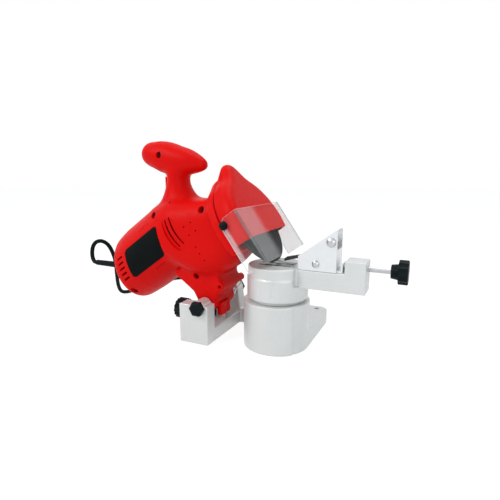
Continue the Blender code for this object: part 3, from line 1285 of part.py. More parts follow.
def spindle_parts(head):
    axis = empty("spindle_axis", head, (0, 0, SPINDLE_Z))
    centre = (0, SPINDLE_Z)
    wheel_back = WHEEL_X - WHEEL_THICK / 2
    wheel_front = WHEEL_X + WHEEL_THICK / 2
    flange_front = wheel_front + GAP + FLANGE_THICK
    nut_front = flange_front + GAP + ARBOR_NUT_THICK
    spindle = cylinder("spindle", "X", centre, SPINDLE_RADIUS, CHAMBER_FRONT + GAP, nut_front - GAP, 24)
    finish(spindle, "spindle", axis, "steel")
    pulley("spindle_pulley", axis, centre, PULLEY_SMALL * DRIVE_RATIO_SHARE, SPINDLE_RADIUS)
    inner = lathe("inner_flange", "X", centre, [
        (INNER_FLANGE_BACK, FLANGE_RADIUS * 0.6), (wheel_back - GAP - FLANGE_THICK, FLANGE_RADIUS * 0.6),
        (wheel_back - GAP - FLANGE_THICK, FLANGE_RADIUS), (wheel_back - GAP, FLANGE_RADIUS),
        (wheel_back - GAP, WHEEL_BORE - RUN_GAP), (wheel_front - GAP, WHEEL_BORE - RUN_GAP)], 24)
    cut(inner, cylinder("bore", "X", centre, SPINDLE_RADIUS + RUN_GAP, INNER_FLANGE_BACK - OVERRUN,
                        wheel_front + OVERRUN, 24))
    finish(inner, "inner_flange", axis, "steel")
    wheel = ring("grinding_wheel", "X", centre, WHEEL_BORE, WHEEL_RADIUS, wheel_back, wheel_front, 56)
    finish(wheel, "grinding_wheel", axis, "abrasive")
    outer = ring("outer_flange", "X", centre, SPINDLE_RADIUS + RUN_GAP, FLANGE_RADIUS, wheel_front + GAP,
                 flange_front, 30)
    finish(outer, "outer_flange", axis, "steel")
    nut = prism("arbor_nut", circle(NUT_FLAT_RADIUS, 6, centre), flange_front + GAP, nut_front, "X")
    cut(nut, cylinder("bore", "X", centre, SPINDLE_RADIUS + RUN_GAP, flange_front - OVERRUN,
                      nut_front + OVERRUN, 24))
    finish(nut, "arbor_nut", axis, "steel")


def guard_outline(radius, peak, floor, steps=40):
    """A circle with a soft peak on top, cut level below. Points are (across, up)."""
    edge = math.sqrt(radius ** 2 - (SPINDLE_Z - floor) ** 2)
    outline = [(edge, floor)]
    first = math.asin((floor - SPINDLE_Z) / radius)
    for step in range(1, steps):
        angle = first + (math.pi - 2 * first) * step / steps
        from_top = abs(angle - math.pi / 2)
        reach = radius + peak * math.exp(-(from_top / GUARD_PEAK_SPREAD) ** 2)
        outline.append((reach * math.cos(angle), SPINDLE_Z + reach * math.sin(angle)))
    return outline + [(-edge, floor)]


def guard_ring(along, radius, peak, floor):
    return [(along, *point) for point in guard_outline(radius, peak, floor)]


def guards(head):
    centre = (0, SPINDLE_Z)
    small = GUARD_RADIUS * 0.94
    back = loft("guard_back", [
        guard_ring(GUARD_BACK, small, GUARD_BACK_PEAK * 0.9, GUARD_APRON),
        guard_ring(GUARD_BACK + WALL, GUARD_RADIUS, GUARD_BACK_PEAK, GUARD_APRON),
        guard_ring(GUARD_PARTING - GAP / 2, GUARD_RADIUS, GUARD_BACK_PEAK * 1.2, GUARD_APRON)])
    cut(back, cylinder("bore", "X", centre, FLANGE_RADIUS * 0.6 + 4 * GAP, GUARD_BACK - OVERRUN,
                       GUARD_PARTING + OVERRUN, 28))
    finish(back, "guard_back", head, "red")
    cover = loft("guard_cover", [
        guard_ring(GUARD_PARTING + GAP / 2, GUARD_RADIUS, GUARD_BACK_PEAK * 1.2, GUARD_LOWER_EDGE),
        guard_ring(GUARD_FRONT - WALL / 2, GUARD_RADIUS, GUARD_PEAK, GUARD_LOWER_EDGE),
        guard_ring(GUARD_FRONT, GUARD_RADIUS - WALL / 2, GUARD_PEAK, GUARD_LOWER_EDGE)])
    inner = GUARD_RADIUS - GUARD_WALL
    below = GUARD_LOWER_EDGE - OVERRUN
    hollow = loft("hollow", [
        guard_ring(GUARD_PARTING - OVERRUN, inner, GUARD_BACK_PEAK, below),
        guard_ring(GUARD_FRONT - GUARD_WALL, inner, GUARD_PEAK, below)])
    cut(cover, hollow)
    for way in (-1, 1):
        low, high = sorted((way * (GUARD_RADIUS - 2 * GUARD_WALL), way * (GUARD_RADIUS + OVERRUN)))
        cut(cover, cylinder("screw_hole", "Y", SHIELD_SCREW, SHIELD_SHANK + RUN_GAP, low, high, 14))
    tidy_flats(cover)
    finish(cover, "guard_cover", head, "red")


def shield(head):
    """The clear guard: a front sheet and two side sheets folded back past the wheel."""
    outline = [(SHIELD_BACK, SHIELD_BOTTOM), (SHIELD_FRONT, SHIELD_BOTTOM), (SHIELD_FRONT, SHIELD_TOP),
               (SHIELD_BACK + SHIELD_CHAMFER, SHIELD_TOP), (SHIELD_BACK, SHIELD_TOP - SHIELD_CHAMFER / 2)]
    body = prism("clear_shield", outline, -SHIELD_HALF, SHIELD_HALF, "Y")
    inner = SHIELD_HALF - SHIELD_SHEET
    cut(body, box("inside", (SHIELD_BACK - OVERRUN, -inner, SHIELD_BOTTOM - OVERRUN),
                  (SHIELD_FRONT - SHIELD_SHEET, inner, SHIELD_TOP + OVERRUN)))
    cut(body, cylinder("screw_hole", "Y", SHIELD_SCREW, SHIELD_SHANK + RUN_GAP, -SHIELD_HALF - OVERRUN,
                       SHIELD_HALF + OVERRUN, 14))
    finish(body, "clear_shield", head, "clear")
    for name, way in (("shield_screw_near", -1), ("shield_screw_far", 1)):
        face = SHIELD_HALF + GAP
        shoulder = face + SHIELD_SCREW_HEIGHT * 0.6
        profile = [(way * (GUARD_RADIUS - GUARD_WALL), SHIELD_SHANK), (way * face, SHIELD_SHANK),
                   (way * face, SHIELD_SCREW_RADIUS), (way * shoulder, SHIELD_SCREW_RADIUS * 0.85),
                   (way * (face + SHIELD_SCREW_HEIGHT), SHIELD_SCREW_RADIUS * 0.4)]
        finish(lathe(name, "Y", SHIELD_SCREW, profile, 16), name, head, "black")


# Cord

def smooth_route(route, count):
    """Evenly spaced points on a smooth curve through the route's own points."""
    fine = []
    per_piece = 24
    padded = [route[0] * 2 - route[1]] + route + [route[-1] * 2 - route[-2]]
    for before, first, second, after in zip(padded, padded[1:], padded[2:], padded[3:]):
        for step in range(per_piece):
            t = step / per_piece
            fine.append(0.5 * (2 * first + (second - before) * t
                               + (2 * before - 5 * first + 4 * second - after) * t ** 2
                               + (3 * first - before - 3 * second + after) * t ** 3))
    fine.append(route[-1])
    travelled = [0.0]
    for first, second in zip(fine, fine[1:]):
        travelled.append(travelled[-1] + (second - first).length)
    points = []
    index = 0
    for step in range(count):
        goal = travelled[-1] * step / (count - 1)
        while index < len(fine) - 2 and travelled[index + 1] < goal:
            index += 1
        share = (goal - travelled[index]) / (travelled[index + 1] - travelled[index])
        points.append(fine[index].lerp(fine[index + 1], share))
    return points


def route_length(route):
    return sum((second - first).length for first, second in zip(route, route[1:]))


def gland_end():
    """Where the strain relief ends, in the tower frame."""
    return Vector((GLAND_START[0] - GAP - GLAND_LENGTH, 0, GLAND_START[2]))


def coil_height():
    return CORD_RADIUS + COIL_LIFT


def coil_outer_radius():
    return COIL_MIDDLE_RADIUS + COIL_STEP * COIL_TURNS / 4


def coil_route():
    """Two layers of turns: the lower one winds inwards, the upper one back out."""
    middle = COIL_TURNS / 2
    inner = COIL_MIDDLE_RADIUS - COIL_STEP * COIL_TURNS / 4
    low = coil_height()
    steps = round(24 * COIL_TURNS)
    start = Vector((COIL_CENTRE[0] - COIL_LEAD, COIL_CENTRE[1] - coil_outer_radius(), low))
    route = [start, start + Vector((CORD_RADIUS * 2, 0, 0))]
    for step in range(steps + 1):
        turn = COIL_TURNS * step / steps
        angle = math.tau * turn - math.pi / 2
        radius = inner + COIL_STEP * abs(turn - middle)
        climb = min(1.0, max(0.0, (turn - middle) * 2 + 0.5))
        height = low + COIL_STEP * (3 - 2 * climb) * climb ** 2
        route.append(Vector((COIL_CENTRE[0] + radius * math.cos(angle),
                             COIL_CENTRE[1] + radius * math.sin(angle), height)))
    route.append(route[-1] + Vector((-COIL_TAIL / 2, 0, 0)))
    route.append(route[-1] + Vector((-COIL_TAIL / 2, 0, 0)))
    return route


def cords(root):
    first = gland_end() - Vector((CORD_GAP, 0, 0))
    straight = Vector((CORD_RADIUS * 2, 0, 0))
    coil = coil_route()
    last = coil[0] - Vector((GAP, 0, 0))
    lead = smooth_route([first, first - straight / 3] + CORD_ROUTE + [last - straight / 3, last], CORD_POINTS)
    finish(tube_curve("power_cord", lead, CORD_RADIUS), "power_cord", root, "rubber")
    print("cord_coil least gap to itself:", round(least_gap(coil, CORD_RADIUS, 8) / MM, 2), "mm")
    print("cord length:", round(route_length(lead) + route_length(coil), 3), "m")
    finish(tube_curve("cord_coil", coil, CORD_RADIUS, 1), "cord_coil", root, "rubber")
    coil_tie(root)
    plug(root, coil[-1])


def coil_tie(root):
    """A band round the turns on the coil's left side."""
    outer = coil_outer_radius() - COIL_STEP / 4 + CORD_RADIUS + GAP
    inner = 2 * COIL_MIDDLE_RADIUS - coil_outer_radius() - CORD_RADIUS - GAP
    low = COIL_LIFT - GAP
    high = coil_height() + COIL_STEP + CORD_RADIUS + GAP
    across = COIL_CENTRE[1]
    band = box("coil_tie", (COIL_CENTRE[0] - outer - TIE_THICK, across - TIE_WIDTH / 2, low - TIE_THICK),
               (COIL_CENTRE[0] - inner + TIE_THICK, across + TIE_WIDTH / 2, high + TIE_THICK))
    cut(band, box("inside", (COIL_CENTRE[0] - outer, across - TIE_WIDTH, low),
                  (COIL_CENTRE[0] - inner, across + TIE_WIDTH, high)))
    finish(band, "coil_tie", root, "rubber")


def plug(root, cord_end):
    """A flat two-pin plug lying on the bench."""
    nose = cord_end.x - GAP
    half = cord_end.z - GAP
    tip = CORD_RADIUS * 1.3
    shape = [(nose, tip, tip), (nose - PLUG_LENGTH * 0.25, PLUG_NOSE_HALF, PLUG_NOSE_HALF),
             (nose - PLUG_LENGTH * 0.5, PLUG_HALF_WIDTH * 0.9, half),
             (nose - PLUG_LENGTH, PLUG_HALF_WIDTH, half)]
    rings = []
    for along, half_width, half_height in shape:
        rings.append([(along, cord_end.y + across, cord_end.z + up)
                      for across, up in oval(-half_height, half_height, half_width, 24, 0.6)])
    body = loft("plug", rings)
    for way in (-1, 1):
        place = (cord_end.y + way * PLUG_PIN_SPACING, cord_end.z)
        join(body, cylinder("pin", "X", place, PLUG_PIN_RADIUS, nose - PLUG_LENGTH - PLUG_PIN_LENGTH,
                            nose - PLUG_LENGTH / 2, 14))
    finish(body, "plug", root, "rubber")


def build_head(root):
    head = empty("head_pivot", root, (HINGE_X, 0, HINGE_Z), starts_frame=True)
    head.rotation_euler = (0, -HEAD_TILT, 0)
    housing(head)
    rating_plate(head)
    cord_gland(head)
    switch_trigger(head)
    motor(head)
    drive_belt(head)
    spindle_parts(head)
    guards(head)
    shield(head)


def build():
    clear_scene()
    root = empty("sharpener")
    root.location = (-BENCH_X, -BENCH_Y, 0)
    base_casting(root)
    hinge_pin(root)
    pin_cap(root, "pin_cap_front", BRACKET_FRONT, -1)
    pin_cap(root, "pin_cap_rear", REAR_POST_BACK, 1)
    return_spring(root)
    depth_stop(root)
    swivel = empty("swivel_axis", root, (0, 0, CUP_TOP))
    turntable(swivel)
    swivel_fixings(swivel)
    jaws(swivel)
    stop_carriage(swivel)
    build_head(root)
    cords(root)


build()
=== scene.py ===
"""The looks of the electric chainsaw sharpener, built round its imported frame.

Metres, +Z up. tower() places a point given in millimetres from the swivel axis on the bench, and
head() places one given in the head's own tilted frame, whose origin is the hinge pin.
"""

import math

import bmesh
import bpy
import numpy as np
from mathutils import Matrix, Vector


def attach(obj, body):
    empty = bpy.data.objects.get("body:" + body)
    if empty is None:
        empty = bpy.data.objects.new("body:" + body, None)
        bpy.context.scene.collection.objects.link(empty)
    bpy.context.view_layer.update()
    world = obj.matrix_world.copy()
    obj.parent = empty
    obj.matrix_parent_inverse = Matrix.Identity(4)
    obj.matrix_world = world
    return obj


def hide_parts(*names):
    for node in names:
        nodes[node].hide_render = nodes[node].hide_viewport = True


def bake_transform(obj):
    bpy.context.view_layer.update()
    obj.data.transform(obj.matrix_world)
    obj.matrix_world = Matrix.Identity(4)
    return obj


MM = 0.001
TOWER = Vector((37, -70, 0)) * MM
HINGE = Vector((-84.5, 0, 46.5)) * MM
HEAD_TILT = math.radians(35)

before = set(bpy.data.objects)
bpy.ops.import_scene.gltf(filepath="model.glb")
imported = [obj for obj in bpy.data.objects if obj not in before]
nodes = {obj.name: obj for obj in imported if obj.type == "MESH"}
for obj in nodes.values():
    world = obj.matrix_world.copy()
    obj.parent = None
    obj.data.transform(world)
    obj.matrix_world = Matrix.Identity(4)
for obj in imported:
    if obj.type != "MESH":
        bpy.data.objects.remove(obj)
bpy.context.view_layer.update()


def tower(x, y, z):
    return TOWER + Vector((x, y, z)) * MM


HEAD_MATRIX = Matrix.Translation(TOWER + HINGE) @ Matrix.Rotation(-HEAD_TILT, 4, "Y")


def head(x, y, z):
    return HEAD_MATRIX @ (Vector((x, y, z)) * MM)


# Camera, lights and floor

EYE = (164.9, -432.9, 205)
EYE_TURN = math.radians(25)
EYE_DROP = math.radians(10.8)
LENS = 28.44
SENSOR = 36
FLOOR_REACH = 6
FLOOR_DROP = 0.0004
# Each lamp's name, place, aim, size and power
LAMPS = [("key", (-0.9, -1.3, 1.3), (0, -0.05, 0.1), 0.9, 15),
         ("fill", (1.3, -1.2, 0.7), (0, -0.05, 0.1), 1.2, 4.5),
         ("top", (0.1, 0.3, 1.7), (0, 0, 0.1), 1.2, 8)]
SKY_COLOUR = (0.93, 0.96, 1, 1)
SKY_STRENGTH = 0.55
FLOOR_COLOUR = (0.86, 0.86, 0.86, 1)
FLOOR_GLOW = 1.2
FLOOR_GLOW_SHARE = 0.72
WHITE = (1, 1, 1, 1)


def camera():
    lens = bpy.data.cameras.new("camera")
    lens.sensor_width = SENSOR
    lens.lens = LENS
    lens.clip_start = 0.01
    eye = bpy.data.objects.new("camera", lens)
    bpy.context.scene.collection.objects.link(eye)
    aim = Vector((-math.sin(EYE_TURN) * math.cos(EYE_DROP), math.cos(EYE_TURN) * math.cos(EYE_DROP),
                  -math.sin(EYE_DROP)))
    eye.location = tower(*EYE)
    eye.rotation_euler = aim.to_track_quat("-Z", "Y").to_euler()
    bpy.context.scene.camera = eye


def lamp(name, place, aim, size, power):
    light = bpy.data.lights.new(name, "AREA")
    light.shape = "DISK"
    light.size = size
    light.energy = power
    node = bpy.data.objects.new(name, light)
    bpy.context.scene.collection.objects.link(node)
    node.location = place
    node.rotation_euler = (Vector(aim) - Vector(place)).to_track_quat("-Z", "Y").to_euler()


def seen_directly(tree):
    """1 for camera, glossy and transmission rays, which see the plain white surroundings."""
    path = tree.nodes.new("ShaderNodeLightPath")
    first = tree.nodes.new("ShaderNodeMath")
    first.operation = "MAXIMUM"
    second = tree.nodes.new("ShaderNodeMath")
    second.operation = "MAXIMUM"
    tree.links.new(path.outputs["Is Camera Ray"], first.inputs[0])
    tree.links.new(path.outputs["Is Glossy Ray"], first.inputs[1])
    tree.links.new(first.outputs[0], second.inputs[0])
    tree.links.new(path.outputs["Is Transmission Ray"], second.inputs[1])
    return second.outputs[0]


def studio():
    scene = bpy.context.scene
    scene.view_settings.view_transform = "Standard"
    world = bpy.data.worlds.new("studio")
    scene.world = world
    world.use_nodes = True
    tree = world.node_tree
    tree.nodes.clear()
    out = tree.nodes.new("ShaderNodeOutputWorld")
    mix = tree.nodes.new("ShaderNodeMixShader")
    soft = tree.nodes.new("ShaderNodeBackground")
    soft.inputs["Color"].default_value = SKY_COLOUR
    soft.inputs["Strength"].default_value = SKY_STRENGTH
    white = tree.nodes.new("ShaderNodeBackground")
    white.inputs["Color"].default_value = WHITE
    white.inputs["Strength"].default_value = 1
    tree.links.new(seen_directly(tree), mix.inputs["Fac"])
    tree.links.new(soft.outputs[0], mix.inputs[1])
    tree.links.new(white.outputs[0], mix.inputs[2])
    tree.links.new(mix.outputs[0], out.inputs["Surface"])
    for settings in LAMPS:
        lamp(*settings)
    floor_mesh = bpy.data.meshes.new("floor")
    corners = [(x * FLOOR_REACH, y * FLOOR_REACH, 0) for x, y in ((-1, -1), (1, -1), (1, 1), (-1, 1))]
    floor_mesh.from_pydata(corners, [], [(0, 1, 2, 3)])
    floor = bpy.data.objects.new("floor", floor_mesh)
    scene.collection.objects.link(floor)
    floor.location.z = -FLOOR_DROP
    paint = bpy.data.materials.new("floor")
    paint.use_nodes = True
    tree = paint.node_tree
    tree.nodes.clear()
    out = tree.nodes.new("ShaderNodeOutputMaterial")
    mix = tree.nodes.new("ShaderNodeMixShader")
    matte = tree.nodes.new("ShaderNodeBsdfDiffuse")
    matte.inputs["Color"].default_value = FLOOR_COLOUR
    glow = tree.nodes.new("ShaderNodeEmission")
    glow.inputs["Color"].default_value = WHITE
    glow.inputs["Strength"].default_value = FLOOR_GLOW
    share = tree.nodes.new("ShaderNodeMath")
    share.operation = "MULTIPLY"
    share.inputs[1].default_value = FLOOR_GLOW_SHARE
    tree.links.new(seen_directly(tree), share.inputs[0])
    tree.links.new(share.outputs[0], mix.inputs["Fac"])
    tree.links.new(matte.outputs[0], mix.inputs[1])
    tree.links.new(glow.outputs[0], mix.inputs[2])
    tree.links.new(mix.outputs[0], out.inputs["Surface"])
    floor_mesh.materials.append(paint)


# Materials

class Paint:
    """A Principled material with helpers for grain, colour change and bump."""

    def __init__(self, name, colour, roughness, metallic=0.0):
        self.material = bpy.data.materials.new(name)
        self.material.use_nodes = True
        self.tree = self.material.node_tree
        self.surface = self.tree.nodes["Principled BSDF"]
        self.colour = colour
        self.surface.inputs["Base Color"].default_value = (*colour, 1)
        self.surface.inputs["Roughness"].default_value = roughness
        self.surface.inputs["Metallic"].default_value = metallic
        self.place = self.tree.nodes.new("ShaderNodeTexCoord").outputs["Object"]
        self.bump = None

    def stretched(self, scales):
        mapping = self.tree.nodes.new("ShaderNodeMapping")
        mapping.inputs["Scale"].default_value = scales
        self.tree.links.new(self.place, mapping.inputs["Vector"])
        return mapping.outputs[0]

    def noise(self, scale, detail=2.0, place=None):
        node = self.tree.nodes.new("ShaderNodeTexNoise")
        node.inputs["Scale"].default_value = scale
        node.inputs["Detail"].default_value = detail
        self.tree.links.new(place or self.place, node.inputs["Vector"])
        return node.outputs["Fac"]

    def ramp(self, value, low, high, start=0.35, end=0.65):
        node = self.tree.nodes.new("ShaderNodeMapRange")
        node.inputs["From Min"].default_value = start
        node.inputs["From Max"].default_value = end
        node.inputs["To Min"].default_value = low
        node.inputs["To Max"].default_value = high
        self.tree.links.new(value, node.inputs["Value"])
        return node.outputs[0]

    def tint(self, value, other):
        """Mixes the base colour with another where the value is high."""
        node = self.tree.nodes.new("ShaderNodeMix")
        node.data_type = "RGBA"
        node.inputs["A"].default_value = (*self.colour, 1)
        source = self.surface.inputs["Base Color"]
        if source.links:
            self.tree.links.new(source.links[0].from_socket, node.inputs["A"])
        node.inputs["B"].default_value = (*other, 1)
        self.tree.links.new(value, node.inputs["Factor"])
        self.tree.links.new(node.outputs["Result"], source)
        return self

    def rough(self, value):
        self.tree.links.new(value, self.surface.inputs["Roughness"])
        return self

    def grain(self, value, strength, depth):
        node = self.tree.nodes.new("ShaderNodeBump")
        node.inputs["Strength"].default_value = strength
        node.inputs["Distance"].default_value = depth
        self.tree.links.new(value, node.inputs["Height"])
        if self.bump:
            self.tree.links.new(self.bump, node.inputs["Normal"])
        self.bump = node.outputs["Normal"]
        self.tree.links.new(self.bump, self.surface.inputs["Normal"])
        return self


def cast_paint():
    paint = Paint("cast_paint", (0.66, 0.68, 0.67), 0.4, 0.35)
    paint.tint(paint.ramp(paint.noise(35, 4), 0, 0.35), (0.56, 0.585, 0.575))
    paint.tint(paint.ramp(paint.noise(1400, 1), 0, 0.25), (0.82, 0.83, 0.82))
    paint.rough(paint.ramp(paint.noise(220, 3), 0.34, 0.5))
    paint.grain(paint.noise(900, 3), 0.25, 0.0002)
    return paint.material


def red_plastic():
    paint = Paint("red_plastic", (0.7, 0.004, 0.003), 0.42)
    paint.tint(paint.ramp(paint.noise(18, 3), 0, 0.4), (0.63, 0.003, 0.0025))
    paint.rough(paint.ramp(paint.noise(300, 3), 0.36, 0.48))
    paint.grain(paint.noise(1600, 2), 0.18, 0.0001)
    paint.surface.inputs["Specular IOR Level"].default_value = 0.07
    return paint.material


def black_plastic():
    paint = Paint("black_plastic", (0.002, 0.006, 0.007), 0.42)
    paint.tint(paint.ramp(paint.noise(60, 3), 0, 0.5), (0.004, 0.01, 0.011))
    paint.rough(paint.ramp(paint.noise(400, 3), 0.34, 0.55))
    paint.grain(paint.noise(1500, 2), 0.2, 0.0001)
    paint.surface.inputs["Specular IOR Level"].default_value = 0.09
    return paint.material


def soft_rubber():
    paint = Paint("soft_rubber", (0.002, 0.006, 0.0065), 0.55)
    paint.tint(paint.ramp(paint.noise(90, 3), 0, 0.5), (0.004, 0.009, 0.01))
    paint.rough(paint.ramp(paint.noise(500, 2), 0.48, 0.68))
    paint.grain(paint.noise(900, 2), 0.15, 0.0001)
    paint.surface.inputs["Specular IOR Level"].default_value = 0.09
    return paint.material


def machined_steel(name, scales, colour=(0.55, 0.56, 0.57), roughness=(0.2, 0.36)):
    paint = Paint(name, colour, 0.3, 1.0)
    lines = paint.noise(60, 3, paint.stretched(scales))
    paint.rough(paint.ramp(lines, *roughness))
    paint.tint(paint.ramp(lines, 0, 0.35), tuple(channel * 0.72 for channel in colour))
    paint.grain(lines, 0.08, 0.0001)
    return paint.material


def zinc_sheet():
    paint = Paint("zinc_sheet", (0.74, 0.76, 0.78), 0.38, 0.75)
    paint.tint(paint.ramp(paint.noise(140, 4), 0, 0.35), (0.8, 0.82, 0.84))
    paint.rough(paint.ramp(paint.noise(260, 3), 0.32, 0.44))
    paint.grain(paint.noise(700, 2), 0.08, 0.0001)
    return paint.material


def dark_steel():
    paint = Paint("dark_steel", (0.03, 0.032, 0.034), 0.4, 0.6)
    paint.tint(paint.ramp(paint.noise(300, 4), 0, 0.5), (0.06, 0.063, 0.066))
    paint.rough(paint.ramp(paint.noise(500, 2), 0.3, 0.5))
    return paint.material


def abrasive():
    paint = Paint("abrasive", (0.018, 0.022, 0.02), 0.9)
    cells = paint.tree.nodes.new("ShaderNodeTexVoronoi")
    cells.inputs["Scale"].default_value = 1500
    paint.tree.links.new(paint.place, cells.inputs["Vector"])
    paint.tint(paint.ramp(cells.outputs["Distance"], 0.0, 1.0, 0.1, 0.5), (0.04, 0.045, 0.042))
    paint.tint(paint.ramp(paint.noise(2200, 2), 0, 0.6, 0.55, 0.7), (0.13, 0.135, 0.13))
    paint.grain(cells.outputs["Distance"], 0.6, 0.0003)
    paint.surface.inputs["Specular IOR Level"].default_value = 0.1
    return paint.material


def copper_winding():
    paint = Paint("copper_winding", (0.62, 0.29, 0.14), 0.35, 0.9)
    paint.tint(paint.ramp(paint.noise(120, 3), 0, 0.5), (0.4, 0.18, 0.09))
    return paint.material


def brass():
    paint = Paint("brass", (0.6, 0.42, 0.17), 0.3, 1.0)
    paint.tint(paint.ramp(paint.noise(200, 3), 0, 0.5), (0.45, 0.3, 0.12))
    return paint.material


SHIELD_HALF = 63
SHIELD_BACK = 92.8
# Painted reflection: opacity of the clear sheet at shares across it, from its near side to its far side.
# 0.012 is the sheet's own faint milkiness; the band beside the near fold and the far side's 0.33 are a
# painted reflection.
HAZE_AND_PAINTED_REFLECTION_SHARES = [(0, 0.012), (0.014, 0.012), (0.022, 0.13), (0.28, 0.13), (0.4, 0.012), (0.97, 0.015),
               (0.99, 0.33)]
# Painted highlight: a whitening along the sheet's rear edges, at this opacity up to the first distance in
# millimetres in front of the rear edge and gone by the second
REAR_PAINTED_HIGHLIGHT = 0.22
REAR_PAINTED_HIGHLIGHT_ENDS = (4, 7)


def clear_sheet():
    """Clear plastic with a faint milky tint, a painted reflection whitening it beside the near fold and on
    the far side, and a painted highlight along its rear edges.
    """
    paint = Paint("clear_sheet", (0.96, 0.97, 0.97), 0.05)
    split = paint.tree.nodes.new("ShaderNodeSeparateXYZ")
    paint.tree.links.new(paint.place, split.inputs[0])
    across = paint.ramp(split.outputs["Y"], 0, 1, tower(0, -SHIELD_HALF, 0).y, tower(0, SHIELD_HALF, 0).y)
    # Painted reflection: the sheet's opacity across it, from the shares above
    haze_and_painted_reflection = paint.tree.nodes.new("ShaderNodeValToRGB")
    steps = haze_and_painted_reflection.color_ramp.elements
    steps[0].position, steps[1].position = HAZE_AND_PAINTED_REFLECTION_SHARES[0][0], HAZE_AND_PAINTED_REFLECTION_SHARES[-1][0]
    for share, _ in HAZE_AND_PAINTED_REFLECTION_SHARES[1:-1]:
        steps.new(share)
    for step, (_, amount) in zip(steps, HAZE_AND_PAINTED_REFLECTION_SHARES):
        step.color = (amount, amount, amount, 1)
    paint.tree.links.new(across, haze_and_painted_reflection.inputs["Fac"])
    along = paint.tree.nodes.new("ShaderNodeVectorMath")
    along.operation = "DOT_PRODUCT"
    axis = head(1, 0, 0) - head(0, 0, 0)
    axis.normalize()
    along.inputs[1].default_value = axis
    paint.tree.links.new(paint.place, along.inputs[0])
    # Painted highlight along the rear edges, fading out towards the front
    fading = [axis.dot(head(SHIELD_BACK + end, 0, 0)) for end in REAR_PAINTED_HIGHLIGHT_ENDS]
    edge = paint.ramp(along.outputs["Value"], REAR_PAINTED_HIGHLIGHT, 0, *fading)
    both = paint.tree.nodes.new("ShaderNodeMath")
    both.operation = "MAXIMUM"
    paint.tree.links.new(haze_and_painted_reflection.outputs["Color"], both.inputs[0])
    paint.tree.links.new(edge, both.inputs[1])
    paint.tree.links.new(both.outputs[0], paint.surface.inputs["Alpha"])
    paint.surface.inputs["Specular IOR Level"].default_value = 0.3
    paint.surface.inputs["IOR"].default_value = 1.49
    paint.rough(paint.ramp(paint.noise(40, 3), 0.03, 0.09))
    return paint.material


# Painted highlight: the clear sheet's cut edges in near white, mostly opaque
def sheet_edge_painted_highlight():
    paint = Paint("sheet_edge_painted_highlight", (0.9, 0.93, 0.93), 0.15)
    paint.surface.inputs["Alpha"].default_value = 0.8
    paint.tint(paint.ramp(paint.noise(200, 2), 0, 0.6), (0.7, 0.75, 0.75))
    return paint.material


# Painted shade: the clear sheet's bends in dark grey, about half opaque
def sheet_fold_painted_shade():
    paint = Paint("sheet_fold_painted_shade", (0.16, 0.18, 0.18), 0.12)
    paint.surface.inputs["Alpha"].default_value = 0.55
    paint.tint(paint.ramp(paint.noise(200, 2), 0, 0.6), (0.3, 0.33, 0.33))
    return paint.material


def rating_black():
    paint = Paint("rating_black", (0.0015, 0.003, 0.003), 0.4)
    paint.tint(paint.ramp(paint.noise(80, 2), 0, 0.5), (0.003, 0.005, 0.005))
    paint.rough(paint.ramp(paint.noise(350, 2), 0.34, 0.48))
    paint.surface.inputs["Specular IOR Level"].default_value = 0.06
    return paint.material


PAINTS = {
    "cast": cast_paint(),
    "red": red_plastic(),
    "black": black_plastic(),
    "rubber": soft_rubber(),
    "steel": machined_steel("turned_steel", (1, 1, 1)),
    "jaw": machined_steel("jaw_steel", (0.2, 2, 6), (0.2, 0.23, 0.23)),
    "zinc": zinc_sheet(),
    "dark": dark_steel(),
    "abrasive": abrasive(),
    "copper": copper_winding(),
    "brass": brass(),
    "clear": clear_sheet(),
    # On the clear sheet, the edge paint is a painted highlight and the fold paint is painted shade
    "edge": sheet_edge_painted_highlight(),
    "fold": sheet_fold_painted_shade(),
    "rating": rating_black(),
}

FINISHES = {
    "cast": "base_casting turntable",
    "red": "housing_near housing_far guard_back guard_cover switch_trigger",
    "black": "adjusting_knob depth_stop_knob lock_knob clamp_knob pin_cap_front pin_cap_rear "
             "switch_block fan shield_screw_near shield_screw_far",
    "rubber": "drive_belt cord_gland power_cord cord_coil coil_tie plug depth_stop_pad",
    "steel": "hinge_pin return_spring depth_stop_screw depth_stop_nut swivel_stud lock_washer clamp_screw "
             "stop_screw_upper stop_screw_lower plate_spacer adjusting_screw stator motor_bearing_front "
             "motor_bearing_rear spindle_bearing_front spindle_bearing_rear motor_pulley spindle_pulley "
             "spindle inner_flange outer_flange arbor_nut",
    "jaw": "fixed_jaw moving_jaw",
    "zinc": "side_plate_front side_plate_rear stop_carriage",
    "dark": "chain_pawl stop_screw_nut",
    "abrasive": "grinding_wheel",
    "copper": "armature",
    "brass": "brush_holder_near brush_holder_far",
    "clear": "clear_shield",
    "rating": "rating_plate",
}


# Edges sharper than these angles, in degrees, stay sharp in the shading
NODE_SMOOTH = 32
MOULDED_SMOOTH = 40
CORD_SMOOTH = 60


def dress(mesh, paint, smooth):
    mesh.materials.clear()
    mesh.materials.append(PAINTS[paint])
    mesh.shade_smooth()
    mesh.set_sharp_from_angle(angle=math.radians(smooth))


def dress_nodes():
    for paint, names in FINISHES.items():
        for name in names.split():
            dress(nodes[name].data, paint, NODE_SMOOTH)


# Building helpers

def raw(name, points, faces):
    """A solid from its points and faces, with the faces turned outwards."""
    mesh = bpy.data.meshes.new(name)
    shell = bmesh.new()
    corners = [shell.verts.new(point) for point in points]
    for face in faces:
        shell.faces.new([corners[index] for index in face])
    bmesh.ops.recalc_face_normals(shell, faces=shell.faces)
    shell.to_mesh(mesh)
    shell.free()
    obj = bpy.data.objects.new(name, mesh)
    bpy.context.scene.collection.objects.link(obj)
    return obj


